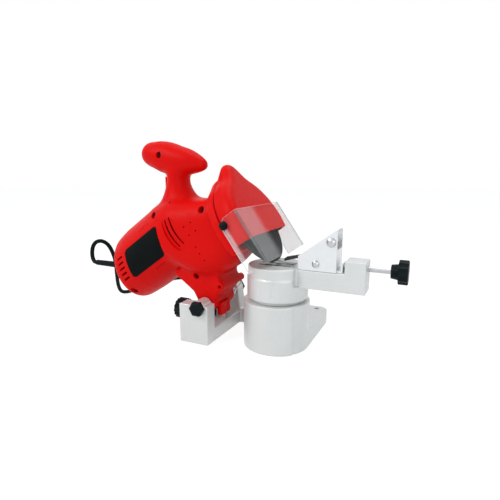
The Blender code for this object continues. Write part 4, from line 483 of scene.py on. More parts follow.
def tube(rings):
    """Points and faces of a closed tube through rings of equal counts."""
    count = len(rings[0])
    points = [point for ring in rings for point in ring]
    last = len(points) - count
    faces = [tuple(range(count)), tuple(range(last + count - 1, last - 1, -1))]
    for level in range(len(rings) - 1):
        for index in range(count):
            following = (index + 1) % count
            low = level * count
            faces.append((low + index, low + following, low + count + following, low + count + index))
    return points, faces


def swept(route, radius, sides):
    """A round tube along a route, without twist."""
    rings = []
    side = Vector((0, 1, 0))
    for index, point in enumerate(route):
        ahead = route[min(index + 1, len(route) - 1)]
        behind = route[max(index - 1, 0)]
        aim = (ahead - behind).normalized()
        side = (side - aim * side.dot(aim)).normalized()
        up = aim.cross(side)
        turns = [math.tau * step / sides for step in range(sides)]
        rings.append([point + (side * math.cos(turn) + up * math.sin(turn)) * radius for turn in turns])
    return tube(rings)


# Cord

CORD_RADIUS = 3
CORD_EXIT = (-292.3, 0, 74.4)
CORD_ROUTE = [
    (-293.3, 0, 74.4), (-299.2, 0.4, 75.2), (-304.6, 2.4, 83), (-305.2, 4.6, 94.6), (-301.5, 7.6, 102.9),
    (-294.6, 11.6, 105.3), (-289.7, 17, 101.6), (-288, 23, 93.8), (-288.3, 30.4, 78.6),
    (-292.3, 37.4, 62.6), (-299, 45, 44), (-306, 54, 23.7), (-310, 64, 9.8), (-310.4, 78, 4.2),
    (-307, 100, 3.6), (-303, 130, 3.6), (-298, 164, 3.6), (-287, 192, 3.6), (-266, 207, 3.6),
    (-240, 210, 3.6), (-212, 204, 3.6), (-188, 190, 3.6), (-166, 171, 3.6), (-145, 150, 3.6),
    (-124, 131, 3.9), (-100, 123, 4.4)]
COIL_CENTRE = (-57, 165)
COIL_MIDDLE_RADIUS = 33
COIL_TURNS = 5.5
COIL_STEP = 6.7
COIL_LIFT = 1.6
COIL_HEIGHT = CORD_RADIUS + COIL_LIFT
COIL_LEAD = 12
COIL_TAIL = 18
COIL_STEPS = 64
TAIL_STEPS = 4
LEAD_POINTS = 150
LEAD_STEPS = 24
CORD_SIDES = 14


def coil_route():
    """The lead-in, the coil in two layers and the straight tail to the plug."""
    middle = COIL_TURNS / 2
    swing = COIL_STEP * COIL_TURNS / 4
    across, along = COIL_CENTRE
    start = Vector((across - COIL_LEAD, along - COIL_MIDDLE_RADIUS - swing, COIL_HEIGHT))
    route = [start - Vector((2, 0, 0)), start, start + Vector((CORD_RADIUS * 2, 0, 0))]
    steps = round(COIL_STEPS * COIL_TURNS)
    for step in range(steps + 1):
        turn = COIL_TURNS * step / steps
        angle = math.tau * turn - math.pi / 2
        radius = COIL_MIDDLE_RADIUS - swing + COIL_STEP * abs(turn - middle)
        climb = min(1.0, max(0.0, (turn - middle) * 2 + 0.5))
        route.append(Vector((across + radius * math.cos(angle), along + radius * math.sin(angle),
                             COIL_HEIGHT + COIL_STEP * (3 - 2 * climb) * climb ** 2)))
    for step in range(TAIL_STEPS):
        route.append(route[-1] - Vector((COIL_TAIL / TAIL_STEPS, 0, 0)))
    return route


def smooth_route(route, count):
    """Evenly spaced points on a smooth curve through the route."""
    fine = []
    padded = [route[0] * 2 - route[1]] + route + [route[-1] * 2 - route[-2]]
    for before, first, second, after in zip(padded, padded[1:], padded[2:], padded[3:]):
        for step in range(LEAD_STEPS):
            t = step / LEAD_STEPS
            fine.append(0.5 * (2 * first + (second - before) * t
                               + (2 * before - 5 * first + 4 * second - after) * t ** 2
                               + (3 * first - before - 3 * second + after) * t ** 3))
    fine.append(route[-1])
    travelled = [0.0]
    for first, second in zip(fine, fine[1:]):
        travelled.append(travelled[-1] + (second - first).length)
    points = []
    index = 0
    for step in range(count):
        goal = travelled[-1] * step / (count - 1)
        while index < len(fine) - 2 and travelled[index + 1] < goal:
            index += 1
        share = (goal - travelled[index]) / (travelled[index + 1] - travelled[index])
        points.append(fine[index].lerp(fine[index + 1], share))
    return points


def cord():
    coil = coil_route()
    lead = [Vector(place) for place in [CORD_EXIT] + CORD_ROUTE] + coil[:2]
    route = [tower(*place) for place in smooth_route(lead, LEAD_POINTS) + coil[2:]]
    cable = raw("mains_cord", *swept(route, CORD_RADIUS * MM, CORD_SIDES))
    dress(cable.data, "rubber", CORD_SMOOTH)
    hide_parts("power_cord", "cord_coil")
    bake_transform(cable)


# Moulded and cast pieces, rounded along their edges

def applied(obj):
    """The object with its modifiers made real."""
    bpy.context.view_layer.update()
    shape = obj.evaluated_get(bpy.context.evaluated_depsgraph_get())
    mesh = bpy.data.meshes.new_from_object(shape)
    obj.modifiers.clear()
    obj.data = mesh
    return obj


def joined(name, parts):
    """One object from several solids, which may overlap."""
    shell = bmesh.new()
    for part in parts:
        shell.from_mesh(part.data)
        bpy.data.objects.remove(part)
    mesh = bpy.data.meshes.new(name)
    shell.to_mesh(mesh)
    shell.free()
    obj = bpy.data.objects.new(name, mesh)
    bpy.context.scene.collection.objects.link(obj)
    return obj


def even_cells(obj, size):
    """One skin of even faces round everything in the object."""
    cells = obj.modifiers.new("cells", "REMESH")
    cells.mode = "VOXEL"
    cells.voxel_size = size * MM
    return applied(obj)


def thinned(obj, share):
    """The object with about this share of its faces."""
    thin = obj.modifiers.new("thin", "DECIMATE")
    thin.ratio = share
    return applied(obj)


def cut(obj, cutter, operation="DIFFERENCE"):
    boolean = obj.modifiers.new("cut", "BOOLEAN")
    boolean.operation = operation
    boolean.solver = "EXACT"
    boolean.object = cutter
    applied(obj)
    bpy.data.objects.remove(cutter)
    return obj


NORMAL_ROUNDS = 10


def soften(mesh, fillet_rounds, edge_rounds):
    """Fills hollow corners into fillets, then rounds every edge a little."""
    count = len(mesh.vertices)
    flat = np.empty(count * 3)
    pairs = np.empty(len(mesh.edges) * 2, dtype=np.int32)
    mesh.vertices.foreach_get("co", flat)
    mesh.edges.foreach_get("vertices", pairs)
    points = flat.reshape(-1, 3)
    first, second = pairs[::2], pairs[1::2]
    degree = np.bincount(pairs, minlength=count)
    outward = np.empty(count * 3)
    for step in range(fillet_rounds + edge_rounds):
        shift = np.empty_like(points)
        for axis in range(3):
            total = (np.bincount(first, points[second, axis], count)
                     + np.bincount(second, points[first, axis], count))
            shift[:, axis] = total / degree - points[:, axis]
        if step < fillet_rounds:
            if step % NORMAL_ROUNDS == 0:
                mesh.vertices.foreach_set("co", points.ravel())
                mesh.update()
                mesh.vertices.foreach_get("normal", outward)
            hollow = (shift * outward.reshape(-1, 3)).sum(axis=1) > 0
            shift *= hollow[:, None]
        points += shift * 0.5
    mesh.vertices.foreach_set("co", points.ravel())
    mesh.update()


def adopt(obj, paint, body, node):
    """Makes a finished piece of an object that stands for a CAD node."""
    obj.name = node + "_moulded"
    dress(obj.data, paint, MOULDED_SMOOTH)
    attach(obj, body)
    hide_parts(node)
    return obj


# The place on the arm where the carriage slides, as a low and a high corner
ARM_RECESS = ((21.85, -16, 99.03), (81.95, 16, 114))
# Each copy's node, paint, body, cell size, smoothing rounds, kept share of faces and clear boxes
COPIES = [("guard_back", "red", "head", 0.9, 8, 0.3, ()),
          ("base_casting", "cast", "base", 0.8, 3, 0.3, ()),
          ("turntable", "cast", "swivel", 0.8, 4, 0.3, (ARM_RECESS,))]


def rounded_copy(node, paint, body, size, rounds, share, clear):
    """A CAD node's shape with its edges rounded, but for the clear boxes, where another piece slides."""
    obj = bpy.data.objects.new(node + "_copy", nodes[node].data.copy())
    bpy.context.scene.collection.objects.link(obj)
    even_cells(obj, size)
    soften(obj.data, 0, rounds)
    thinned(obj, share)
    for low, high in clear:
        outline = [(low[0], low[2]), (high[0], low[2]), (high[0], high[2]), (low[0], high[2])]
        rings = [[tower(x, y, z) for x, z in outline] for y in (low[1], high[1])]
        cut(obj, raw("clear_box", *tube(rings)))
    return adopt(obj, paint, body, node)


# Head housing, in millimetres of the head's own frame

MOTOR_Z = 99
SPINDLE_Z = 53.4
BARREL_RADIUS = 46.3
BARREL_LENGTH = 97
BARREL_SHARES = [(1, 0.01), (1, 0.35), (0.986, 0.63), (0.967, 0.76), (0.948, 0.845), (0.925, 0.905),
                 (0.9, 0.945), (0.86, 0.965), (0.75, 0.985), (0.64, 1), (0.5, 1), (0.3, 1), (0, 1)]
BARREL_SIDES = 64
SLANT_SHARE = 0.3
CHAMBER_RADIUS = 42.2
CHAMBER_BACK = -79
CHAMBER_STEP = -68
REAR_CHAMBER_RADIUS = 30
CHAMBER_FRONT = 31
BEARING_SEAT = 11.3
BEARING_WIDTH = 7.3
BODY_BACK = -6
BODY_LENGTH = 86
BODY_HEIGHT = 100
BODY_HALF = 46
BODY_SHARES = [(0, 0.5, 1.46, 1), (0.186, 0.31, 1.435, 1), (0.419, 0.23, 1.34, 0.98),
               (0.651, 0.205, 1.22, 0.935), (0.86, 0.235, 1.11, 0.905), (1, 0.275, 1.07, 0.875)]
BODY_POWER = 0.62
BODY_ROUND_SHARE = 0.35
BODY_SIDES = 64
BODY_INNER_SIDES = 32
FRONT_CHAMBER = (37, 70)
NECK_X = -54.5
NECK_FOOT = 113.5
NECK_TALL = 54
NECK_HALF = 16
NECK_DEPTH = 17
NECK_SHARES = [(0, 1.81, 2.94, 1.76), (0.185, 1.5, 2.2, 1.47), (0.333, 1.25, 1.62, 1.24),
               (0.5, 1.05, 1.12, 1.09), (0.704, 0.83, 0.86, 1), (1, 1.05, 1.05, 1)]
NECK_SIDES = 48
NECK_INNER_SIDES = 24
HANDLE_LEFT = -107
HANDLE_LENGTH = 95.5
HANDLE_Z = 184.5
HANDLE_DROP = 14
HANDLE_HEIGHT = 20.5
HANDLE_DEPTH = 19
HANDLE_SHARES = [(0, 0, 0.06, 0.08), (0.012, 0, 0.3, 0.37), (0.045, 0, 0.56, 0.66), (0.105, 0, 0.75, 0.84),
                 (0.196, 0.09, 0.86, 0.95), (0.307, 0.24, 0.985, 1), (0.457, 0.41, 1, 1),
                 (0.608, 0.61, 0.907, 0.95), (0.759, 0.73, 0.75, 0.82), (0.879, 0.87, 0.537, 0.61),
                 (0.96, 0.97, 0.33, 0.38), (0.988, 1, 0.2, 0.22), (1, 1, 0.07, 0.08)]
HANDLE_INNER_SHARE = 0.4
HANDLE_SIDES = 48
HANDLE_INNER_SIDES = 24
FOOT_HALF = 26.4
FOOT_SIZE = 46
FOOT_SHARES = [(-0.435, 1.2), (-0.174, 0.478), (-0.2, 0.22), (-0.1, 0), (0.3, 0), (0.6, 0.09),
               (0.68, 0.26), (0.74, 0.44), (1.0, 0.587), (1.283, 0.554), (1.283, 1.2)]
PIN_BORE = 4.1
BARREL_HINGE = 12
BARREL_HINGE_SIDES = 40
LUG_BOSS = (29, 8.5)
LUG_BOSS_RADIUS = 5.2
LUG_BOSS_BORE = 2.2
LUG_BOSS_BACK = 34
NOTCH_BACK = -14.6
NOTCH_TOP = 40.6
HEEL = [(-75.9, 29), (-69, 29), (-69, 46.5), (-75.9, 44)]
HEEL_Y = (-16, 8)
HEEL_CELLS = 0.8
HEEL_ROUNDS = 8
RIB_SHARES = [(-0.08, 0.62), (0.08, 0.66), (0.24, 0.7)]
RIB_HALF = 1.6
RIB_OUT = 1.5
RIB_LOW_SHARE = 0.26
SCREW_SHARES = [(1.015, 4.141, 0.28), (0.111, 2.796, 0.62), (1.498, 2.08, 0.62), (0.189, 0.78, 0.45),
                (-1.935, 1.461, 0.5)]
SCREW_BOSS = 6
SCREW_SINK = 4.2
SCREW_BORE = 2.1
# Height above the hole's floor and radius at that height
SCREW_HEAD = [(2.4, 1.6), (2, 2.8), (1.2, 3.5), (0.1, 3.6)]
CROSS_TOP = 3
CROSS_FLOOR = 1.2
CROSS_REACH = 2
CROSS_HALF = 0.4
CROSS_CELLS = 0.2
SPLIT_HALF = 0.15
WALL = 3
OVER = 5
FAR = 400
VENT_ENDS = (75.5, 111.5)
VENT_X = (20.6, 27.6)
VENT_BOW = 3.2
VENT_HALF = 1.1
VENT_INNER = 24
VENT_STEPS = 12
VENT_TIP_SHARE = 0.4
SURROUND_DEPTH = 3.1
SURROUND_SIDE = 5.2
REAR_VENTS = 5
REAR_VENT_TOP = 110.7
REAR_VENT_PITCH = 6.8
REAR_VENT_LEFT = -79.6
REAR_VENT_LENGTH = 11
REAR_VENT_HALF = 1.3
PLATE_X = -30
PLATE_LENGTH = 63
PLATE_HEIGHT = 37.3
PLATE_DROP = math.radians(3.8)
PLATE_CORNER = 3.5
PLATE_GAP = 0.3
PLATE_SEAT = 0.5
PLATE_SUNK = 0.2
PLATE_PROUD = 0.5
DOTS = [(50.5, 90.4), (40.1, 90.8), (51.1, 78.7), (40.7, 78.8), (40.6, 62.6), (39.8, 53.4), (39.8, 43.9)]
DOT_RADIUS = 1
DOT_DEPTH = 6
DOT_SIDES = 12
TICK_ROWS = [(-24.3, -6.9, math.radians(147.9)), (-31.3, -15.9, math.radians(216.5))]
TICKS = 5
TICK_HALF = 0.5
TICK_LENGTH = math.radians(4)
TICK_DEPTH = 2.2
GLAND_UP = 27.9
GLAND_BORE = 4.9
GLAND_INNER = -132.5
TRIGGER = (-78.5, -61.5, 140.7, 156.3)
TRIGGER_HALF = 5.8
SKIN_STEPS = 14
FILLET_ROUNDS = 160
EDGE_ROUNDS = 6
OUTSIDE_CELLS = 1
OUTSIDE_KEPT_SHARE = 0.4
INSIDE_CELLS = 1.5
INSIDE_KEPT_SHARE = 0.3

HEAD_PLACE = Matrix.Diagonal((MM, MM, MM, 1))
UPRIGHT = Matrix.Translation(TOWER + HINGE) @ HEAD_PLACE
TILTED = HEAD_MATRIX @ HEAD_PLACE


def solid(rings, placed=TILTED):
    """A closed solid through rings given in the head's millimetres."""
    points, faces = tube([[placed @ Vector(point) for point in ring] for ring in rings])
    return raw("solid", points, faces)


def round_x(radius, low, high, up, sides=32, placed=TILTED):
    """A cylinder along the head."""
    turns = [math.tau * step / sides for step in range(sides)]
    return solid([[(x, radius * math.cos(turn), up + radius * math.sin(turn)) for turn in turns]
                  for x in (low, high)], placed)


def round_y(profile, x, z, sides=24):
    """A solid turned about an axis across the head, from (y, radius) pairs."""
    turns = [math.tau * step / sides for step in range(sides)]
    return solid([[(x + radius * math.cos(turn), y, z + radius * math.sin(turn)) for turn in turns]
                  for y, radius in profile])


def slab(outline, low, high, placed=TILTED):
    """An outline of (x, z) points carried across the head."""
    return solid([[(x, y, z) for x, z in outline] for y in (low, high)], placed)


def block(low, high, placed=TILTED):
    outline = [(low[0], low[2]), (high[0], low[2]), (high[0], high[2]), (low[0], high[2])]
    return slab(outline, low[1], high[1], placed)


def flowing(stations, between=5):
    """Stations in between, on smooth curves through the given ones."""
    padded = [stations[0]] + list(stations) + [stations[-1]]
    result = []
    for before, first, second, after in zip(padded, padded[1:], padded[2:], padded[3:]):
        for step in range(between):
            t = step / between
            result.append(tuple(
                0.5 * (2 * b + (c - a) * t + (2 * a - 5 * b + 4 * c - d) * t ** 2
                       + (3 * b - a - 3 * c + d) * t ** 3)
                for a, b, c, d in zip(before, first, second, after)))
    return result + [stations[-1]]


def oval(low, high, half, steps, power):
    """(across, up) points round a section: power 1 is an ellipse, lower powers come nearer a box."""
    outline = []
    for step in range(steps):
        angle = math.tau * (step + 0.5) / steps
        across = math.copysign(abs(math.cos(angle)) ** power, math.cos(angle)) * half
        up = math.copysign(abs(math.sin(angle)) ** power, math.sin(angle)) * (high - low) / 2
        outline.append((across, (low + high) / 2 + up))
    return outline


def barrel():
    """The motor's barrel with its leaning, domed rear."""
    rings = []
    for along, reach in BARREL_SHARES + [(BODY_BACK / BARREL_LENGTH, 1)]:
        ring = []
        for step in range(BARREL_SIDES):
            angle = math.tau * step / BARREL_SIDES
            up = BARREL_RADIUS * reach * math.sin(angle)
            ring.append((-BARREL_LENGTH * along + SLANT_SHARE * up * max(0, along) ** 2,
                         BARREL_RADIUS * reach * math.cos(angle), MOTOR_Z + up))
        rings.append(ring)
    return solid(rings)


def drive_box(inset, back, front, steps):
    """The box in front of the barrel, round like the barrel at its rear."""
    rings = []
    for along, low, high, half in flowing(BODY_SHARES):
        x = BODY_BACK + BODY_LENGTH * along
        if back <= x <= front:
            power = BODY_POWER + (1 - BODY_POWER) * max(0, 1 - along / BODY_ROUND_SHARE)
            rings.append([(x, *point) for point in oval(BODY_HEIGHT * low + inset, BODY_HEIGHT * high - inset,
                                                        BODY_HALF * half - inset, steps, power)])
    return solid(rings)


def neck(inset, steps):
    """The neck between barrel and handle, wider to the left at its foot."""
    rings = []
    for up, left, right, depth in flowing(NECK_SHARES):
        ring = []
        for step in range(steps):
            angle = math.tau * (step + 0.5) / steps
            reach = NECK_HALF * (right if math.cos(angle) > 0 else left) - inset
            ring.append((NECK_X + reach * math.cos(angle), (NECK_DEPTH * depth - inset) * math.sin(angle),
                         NECK_FOOT + NECK_TALL * up))
        rings.append(ring)
    return solid(rings, UPRIGHT)


def handle(inset, steps):
    """The mushroom handle, which droops to the right."""
    rings = []
    for along, drop, height, depth in flowing(HANDLE_SHARES):
        x = HANDLE_LEFT + inset + (HANDLE_LENGTH - 2 * inset) * along
        half_height = max(HANDLE_HEIGHT * height - inset, HANDLE_HEIGHT * height * HANDLE_INNER_SHARE)
        half_depth = max(HANDLE_DEPTH * depth - inset, HANDLE_DEPTH * depth * HANDLE_INNER_SHARE)
        turns = [math.tau * (step + 0.5) / steps for step in range(steps)]
        rings.append([(x, half_depth * math.cos(turn),
                       HANDLE_Z - HANDLE_DROP * drop + half_height * math.sin(turn)) for turn in turns])
    return solid(rings, UPRIGHT)


def screw_places():
    """(x, z) of each sunk screw and the y of its hole's floor."""
    return [(FOOT_SIZE * x, FOOT_SIZE * z, -BODY_HALF * share) for x, z, share in SCREW_SHARES]


def housing_outside():
    """The outer form, with fillets where its parts meet."""
    parts = [barrel(), drive_box(0, BODY_BACK, BODY_BACK + BODY_LENGTH, BODY_SIDES),
             neck(0, NECK_SIDES), handle(0, HANDLE_SIDES),
             slab([(FOOT_SIZE * x, FOOT_SIZE * z) for x, z in FOOT_SHARES], -FOOT_HALF, FOOT_HALF),
             round_y([(-FOOT_HALF, BARREL_HINGE), (FOOT_HALF, BARREL_HINGE)], 0, 0, BARREL_HINGE_SIDES),
             round_y([(-FOOT_HALF - OVER / 5, LUG_BOSS_RADIUS), (LUG_BOSS_BACK, LUG_BOSS_RADIUS)], *LUG_BOSS)]
    for x, up in RIB_SHARES:
        parts.append(block((FOOT_SIZE * x - RIB_HALF, -FOOT_HALF - RIB_OUT, FOOT_SIZE * RIB_LOW_SHARE),
                           (FOOT_SIZE * x + RIB_HALF, -NECK_HALF, FOOT_SIZE * up)))
    shape = even_cells(joined("housing", parts), OUTSIDE_CELLS)
    soften(shape.data, FILLET_ROUNDS, EDGE_ROUNDS)
    return thinned(shape, OUTSIDE_KEPT_SHARE)


def housing_inside():
    """The hollow, with a boss left round each screw."""
    shape = joined("inside", [round_x(CHAMBER_RADIUS, CHAMBER_STEP, CHAMBER_FRONT, MOTOR_Z),
                              round_x(REAR_CHAMBER_RADIUS, CHAMBER_BACK, CHAMBER_STEP + WALL, MOTOR_Z),
                              drive_box(WALL, *FRONT_CHAMBER, BODY_INNER_SIDES),
                              neck(WALL, NECK_INNER_SIDES), handle(WALL, HANDLE_INNER_SIDES)])
    even_cells(shape, INSIDE_CELLS)
    thinned(shape, INSIDE_KEPT_SHARE)
    bosses = [round_y([(-BODY_HALF, SCREW_BOSS), (BODY_HALF, SCREW_BOSS)], x, z)
              for x, z, _ in screw_places()]
    return cut(shape, joined("bosses", bosses))


def vent_line(x, share):
    """A place on a tall vent, which bows towards the motor's rear."""
    low, high = VENT_ENDS
    return x - VENT_BOW * (1 - (2 * share - 1) ** 2), low + (high - low) * share


def bowed(first, second, side, near, far):
    """A slab that reaches a side's width beyond two bowed lines, with rounded ends."""
    low, high = VENT_ENDS
    tip = side * VENT_TIP_SHARE
    left = [vent_line(first, step / VENT_STEPS) for step in range(VENT_STEPS + 1)]
    right = [vent_line(second, step / VENT_STEPS) for step in range(VENT_STEPS, -1, -1)]
    outline = [(left[0][0] - tip, low - side)]
    outline += [(x - side, z) for x, z in left]
    outline += [(left[-1][0] - tip, high + side), (right[0][0] + tip, high + side)]
    outline += [(x + side, z) for x, z in right]
    outline.append((right[-1][0] + tip, low - side))
    return slab(outline, near, far)


def skin(ends, low_angle, high_angle, low, high, slant):
    """A piece of the barrel's skin between two ends, two angles and two radii."""
    left, right = ends
    rings = []
    for step in range(SKIN_STEPS + 1):
        share = step / SKIN_STEPS
        angle = low_angle + (high_angle - low_angle) * share
        reach = abs(high_angle - low_angle) * BARREL_RADIUS
        from_end = min(share, 1 - share) * reach
        pull = 0
        if slant and from_end < PLATE_CORNER:
            pull = PLATE_CORNER - math.sqrt(PLATE_CORNER ** 2 - (PLATE_CORNER - from_end) ** 2)
        ring = []
        for x, radius in ((left + pull, low), (right - pull, low), (right - pull, high), (left + pull, high)):
            up = radius * math.sin(angle)
            ring.append((x + slant * up, radius * math.cos(angle), MOTOR_Z + up))
        rings.append(ring)
    return solid(rings)


def plate_skin(grow, low, high):
    """The rating plate's form, grown along its edges."""
    half = (PLATE_HEIGHT / 2 + grow) / BARREL_RADIUS
    middle = math.pi + PLATE_DROP
    half_length = PLATE_LENGTH / 2 + grow
    return skin((PLATE_X - half_length, PLATE_X + half_length), middle - half, middle + half, low, high,
                SLANT_SHARE)


def surrounds():
    """The shallow recesses round the tall vents."""
    sides = [sorted((way * (BODY_HALF - SURROUND_DEPTH), way * (BODY_HALF + OVER))) for way in (-1, 1)]
    return joined("surrounds", [bowed(*VENT_X, SURROUND_SIDE, near, far) for near, far in sides])


def housing_holes():
    """Everything that is cut from both halves or the near one, as solids that don't touch each other."""
    holes = []
    for way in (-1, 1):
        near, far = sorted((way * VENT_INNER, way * (BODY_HALF + OVER)))
        for x in VENT_X:
            holes.append(bowed(x, x, VENT_HALF, near, far))
        for count in range(REAR_VENTS):
            up = REAR_VENT_TOP - REAR_VENT_PITCH * count
            left = REAR_VENT_LEFT + SLANT_SHARE * (up - MOTOR_Z)
            holes.append(block((left, near, up - REAR_VENT_HALF),
                               (left + REAR_VENT_LENGTH, far, up + REAR_VENT_HALF)))
    x_low, x_high, low, high = TRIGGER
    holes.append(block((x_low, -TRIGGER_HALF, low), (x_high, TRIGGER_HALF, high), UPRIGHT))
    holes.append(round_x(GLAND_BORE, GLAND_INNER - 2 * BARREL_HINGE, GLAND_INNER, GLAND_UP, placed=UPRIGHT))
    holes.append(round_y([(-FOOT_HALF - OVER, PIN_BORE), (FOOT_HALF + OVER, PIN_BORE)], 0, 0))
    holes.append(round_y([(-FOOT_HALF - OVER, LUG_BOSS_BORE), (LUG_BOSS_BACK + OVER, LUG_BOSS_BORE)],
                         *LUG_BOSS))
    holes.append(round_x(BEARING_SEAT, CHAMBER_BACK - BEARING_WIDTH, CHAMBER_BACK + OVER, MOTOR_Z))
    holes.append(round_x(BEARING_SEAT, CHAMBER_FRONT - OVER, FRONT_CHAMBER[0] + OVER, MOTOR_Z))
    holes.append(round_x(BEARING_SEAT, CHAMBER_FRONT - OVER, FRONT_CHAMBER[0] + OVER, SPINDLE_Z))
    holes.append(round_x(BEARING_SEAT, FRONT_CHAMBER[1] - OVER, BODY_BACK + BODY_LENGTH + OVER, SPINDLE_Z))
    for x, z, depth in screw_places():
        holes.append(round_y([(-BODY_HALF - OVER, SCREW_SINK), (depth, SCREW_SINK), (depth, SCREW_BORE),
                              (SCREW_BOSS, SCREW_BORE)], x, z))
    for x, z in DOTS:
        holes.append(round_y([(-BODY_HALF - OVER, DOT_RADIUS), (DOT_DEPTH - BODY_HALF, DOT_RADIUS)],
                             x, z, DOT_SIDES))
    for left, right, angle in TICK_ROWS:
        for count in range(TICKS):
            x = left + (right - left) * count / (TICKS - 1)
            holes.append(skin((x - TICK_HALF, x + TICK_HALF),
                              angle - TICK_LENGTH / 2, angle + TICK_LENGTH / 2,
                              BARREL_RADIUS - TICK_DEPTH, BARREL_RADIUS + OVER, 0))
    holes.append(plate_skin(PLATE_GAP, BARREL_RADIUS - PLATE_SEAT, BARREL_RADIUS + 2 * WALL))
    return joined("holes", holes)


def heel(near, far):
    """Half of the foot's stop, which rests on the base."""
    outline = [(x - HINGE.x / MM, z - HINGE.z / MM) for x, z in HEEL]
    shape = even_cells(slab(outline, near, far, UPRIGHT), HEEL_CELLS)
    soften(shape.data, 0, HEEL_ROUNDS)
    return shape


def housing():
    """Both halves of the housing and the plate on the barrel."""
    shell = housing_outside()
    cut(shell, housing_inside())
    cut(shell, surrounds())
    cut(shell, housing_holes())
    notch_low = -HINGE.z / MM - OVER
    cut(shell, block((-BARREL_HINGE * 2, -FOOT_HALF - OVER, notch_low),
                     (BARREL_HINGE * 2, NOTCH_BACK, NOTCH_TOP - HINGE.z / MM), UPRIGHT))
    far = bpy.data.objects.new("far", shell.data.copy())
    bpy.context.scene.collection.objects.link(far)
    cut(shell, block((-FAR, -SPLIT_HALF, -FAR), (FAR, FAR, FAR)))
    cut(far, block((-FAR, -FAR, -FAR), (FAR, SPLIT_HALF, FAR)))
    adopt(joined("near", [shell, heel(HEEL_Y[0], -SPLIT_HALF)]), "red", "head", "housing_near")
    adopt(joined("far", [far, heel(SPLIT_HALF, HEEL_Y[1])]), "red", "head", "housing_far")
    adopt(plate_skin(0, BARREL_RADIUS - PLATE_SUNK, BARREL_RADIUS + PLATE_PROUD), "rating", "head",
          "rating_plate")


def housing_screws():
    """Pan heads with crossed slots at the bottom of the five holes."""
    for count, (x, z, depth) in enumerate(screw_places()):
        head_shape = round_y([(depth - height, radius) for height, radius in SCREW_HEAD], x, z)
        top, floor = depth - CROSS_TOP, depth - CROSS_FLOOR
        cross = joined("cross", [block((x - across, top, z - up), (x + across, floor, z + up))
                                 for across, up in ((CROSS_REACH, CROSS_HALF), (CROSS_HALF, CROSS_REACH))])
        even_cells(cross, CROSS_CELLS)
        cut(head_shape, cross)
        head_shape.name = "housing_screw_" + str(count + 1)
        dress(head_shape.data, "dark", MOULDED_SMOOTH)
        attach(head_shape, "head")


# Wheel guard

GUARD_PARTING = 92.15
GUARD_FRONT = 116
GUARD_RADIUS = 60.5
GUARD_PEAK = 18.5
GUARD_BACK_PEAK = 8.4
GUARD_PEAK_SPREAD = 0.23
GUARD_WALL = 2.5
GUARD_LOWER_EDGE = 33.5
GUARD_RIM = 11
GUARD_RIM_SHARE = 0.8
GUARD_RIM_STEPS = 8
GUARD_CELLS = 0.9
GUARD_ROUNDS = 40
GUARD_KEPT_SHARE = 0.5
SHIELD_SCREW = (97, 59.5)
SHIELD_SHANK = 2.2


def guard_ring(along, radius, peak, floor, steps=72):
    """A circle with a soft peak on top, cut level below."""
    edge = math.sqrt(radius ** 2 - (SPINDLE_Z - floor) ** 2)
    first = math.asin((floor - SPINDLE_Z) / radius)
    ring = [(along, edge, floor)]
    for step in range(1, steps):
        angle = first + (math.pi - 2 * first) * step / steps
        reach = radius + peak * math.exp(-((angle - math.pi / 2) / GUARD_PEAK_SPREAD) ** 2)
        ring.append((along, reach * math.cos(angle), SPINDLE_Z + reach * math.sin(angle)))
    return ring + [(along, -edge, floor)]


def guard_cover():
    """The cover over the wheel, with its front rim rounded."""
    below = GUARD_LOWER_EDGE - 2 * OVER
    rings = [guard_ring(GUARD_PARTING, GUARD_RADIUS, GUARD_BACK_PEAK, below)]
    middle = GUARD_FRONT - GUARD_RIM
    for step in range(GUARD_RIM_STEPS + 1):
        angle = math.pi / 2 * step / GUARD_RIM_STEPS
        inset = GUARD_RIM * (1 - math.cos(angle))
        rings.append(guard_ring(middle + GUARD_RIM * math.sin(angle), GUARD_RADIUS - inset * GUARD_RIM_SHARE,
                                GUARD_PEAK, below))
    shape = even_cells(solid(rings), GUARD_CELLS)
    soften(shape.data, 0, GUARD_ROUNDS)
    cut(shape, block((GUARD_PARTING - OVER, -FAR, below - FAR), (GUARD_FRONT + OVER, FAR, GUARD_LOWER_EDGE)))
    inner = GUARD_RADIUS - GUARD_WALL
    hollow = [guard_ring(GUARD_PARTING - OVER, inner, GUARD_BACK_PEAK - GUARD_WALL / 2, below - OVER),
              guard_ring(middle, inner, GUARD_BACK_PEAK - GUARD_WALL / 2, below - OVER),
              guard_ring(GUARD_FRONT - GUARD_WALL, inner - GUARD_RIM * GUARD_RIM_SHARE,
                         GUARD_BACK_PEAK - GUARD_WALL, below - OVER)]
    cut(shape, solid(hollow))
    holes = [round_y([(way * (GUARD_RADIUS + OVER), SHIELD_SHANK),
                      (way * (GUARD_RADIUS - 3 * GUARD_WALL), SHIELD_SHANK)], *SHIELD_SCREW)
             for way in (-1, 1)]
    cut(shape, joined("screw_holes", holes))
    thinned(shape, GUARD_KEPT_SHARE)
    adopt(shape, "red", "head", "guard_cover")


# Clear guard

SHIELD_FRONT = 119
SHIELD_SHEET = 2
SHIELD_BOTTOM = 0.6
SHIELD_TOP = 67
SHIELD_CHAMFER = 9
SHIELD_BEND = 2.4
BEND_STEPS = 4
SECTION_CORNERS = 4
# Material slots of the sheet: clear, its edges with a painted highlight, its folds with painted shade
SHEET, PAINTED_HIGHLIGHT_EDGE, PAINTED_SHADE_FOLD = range(3)


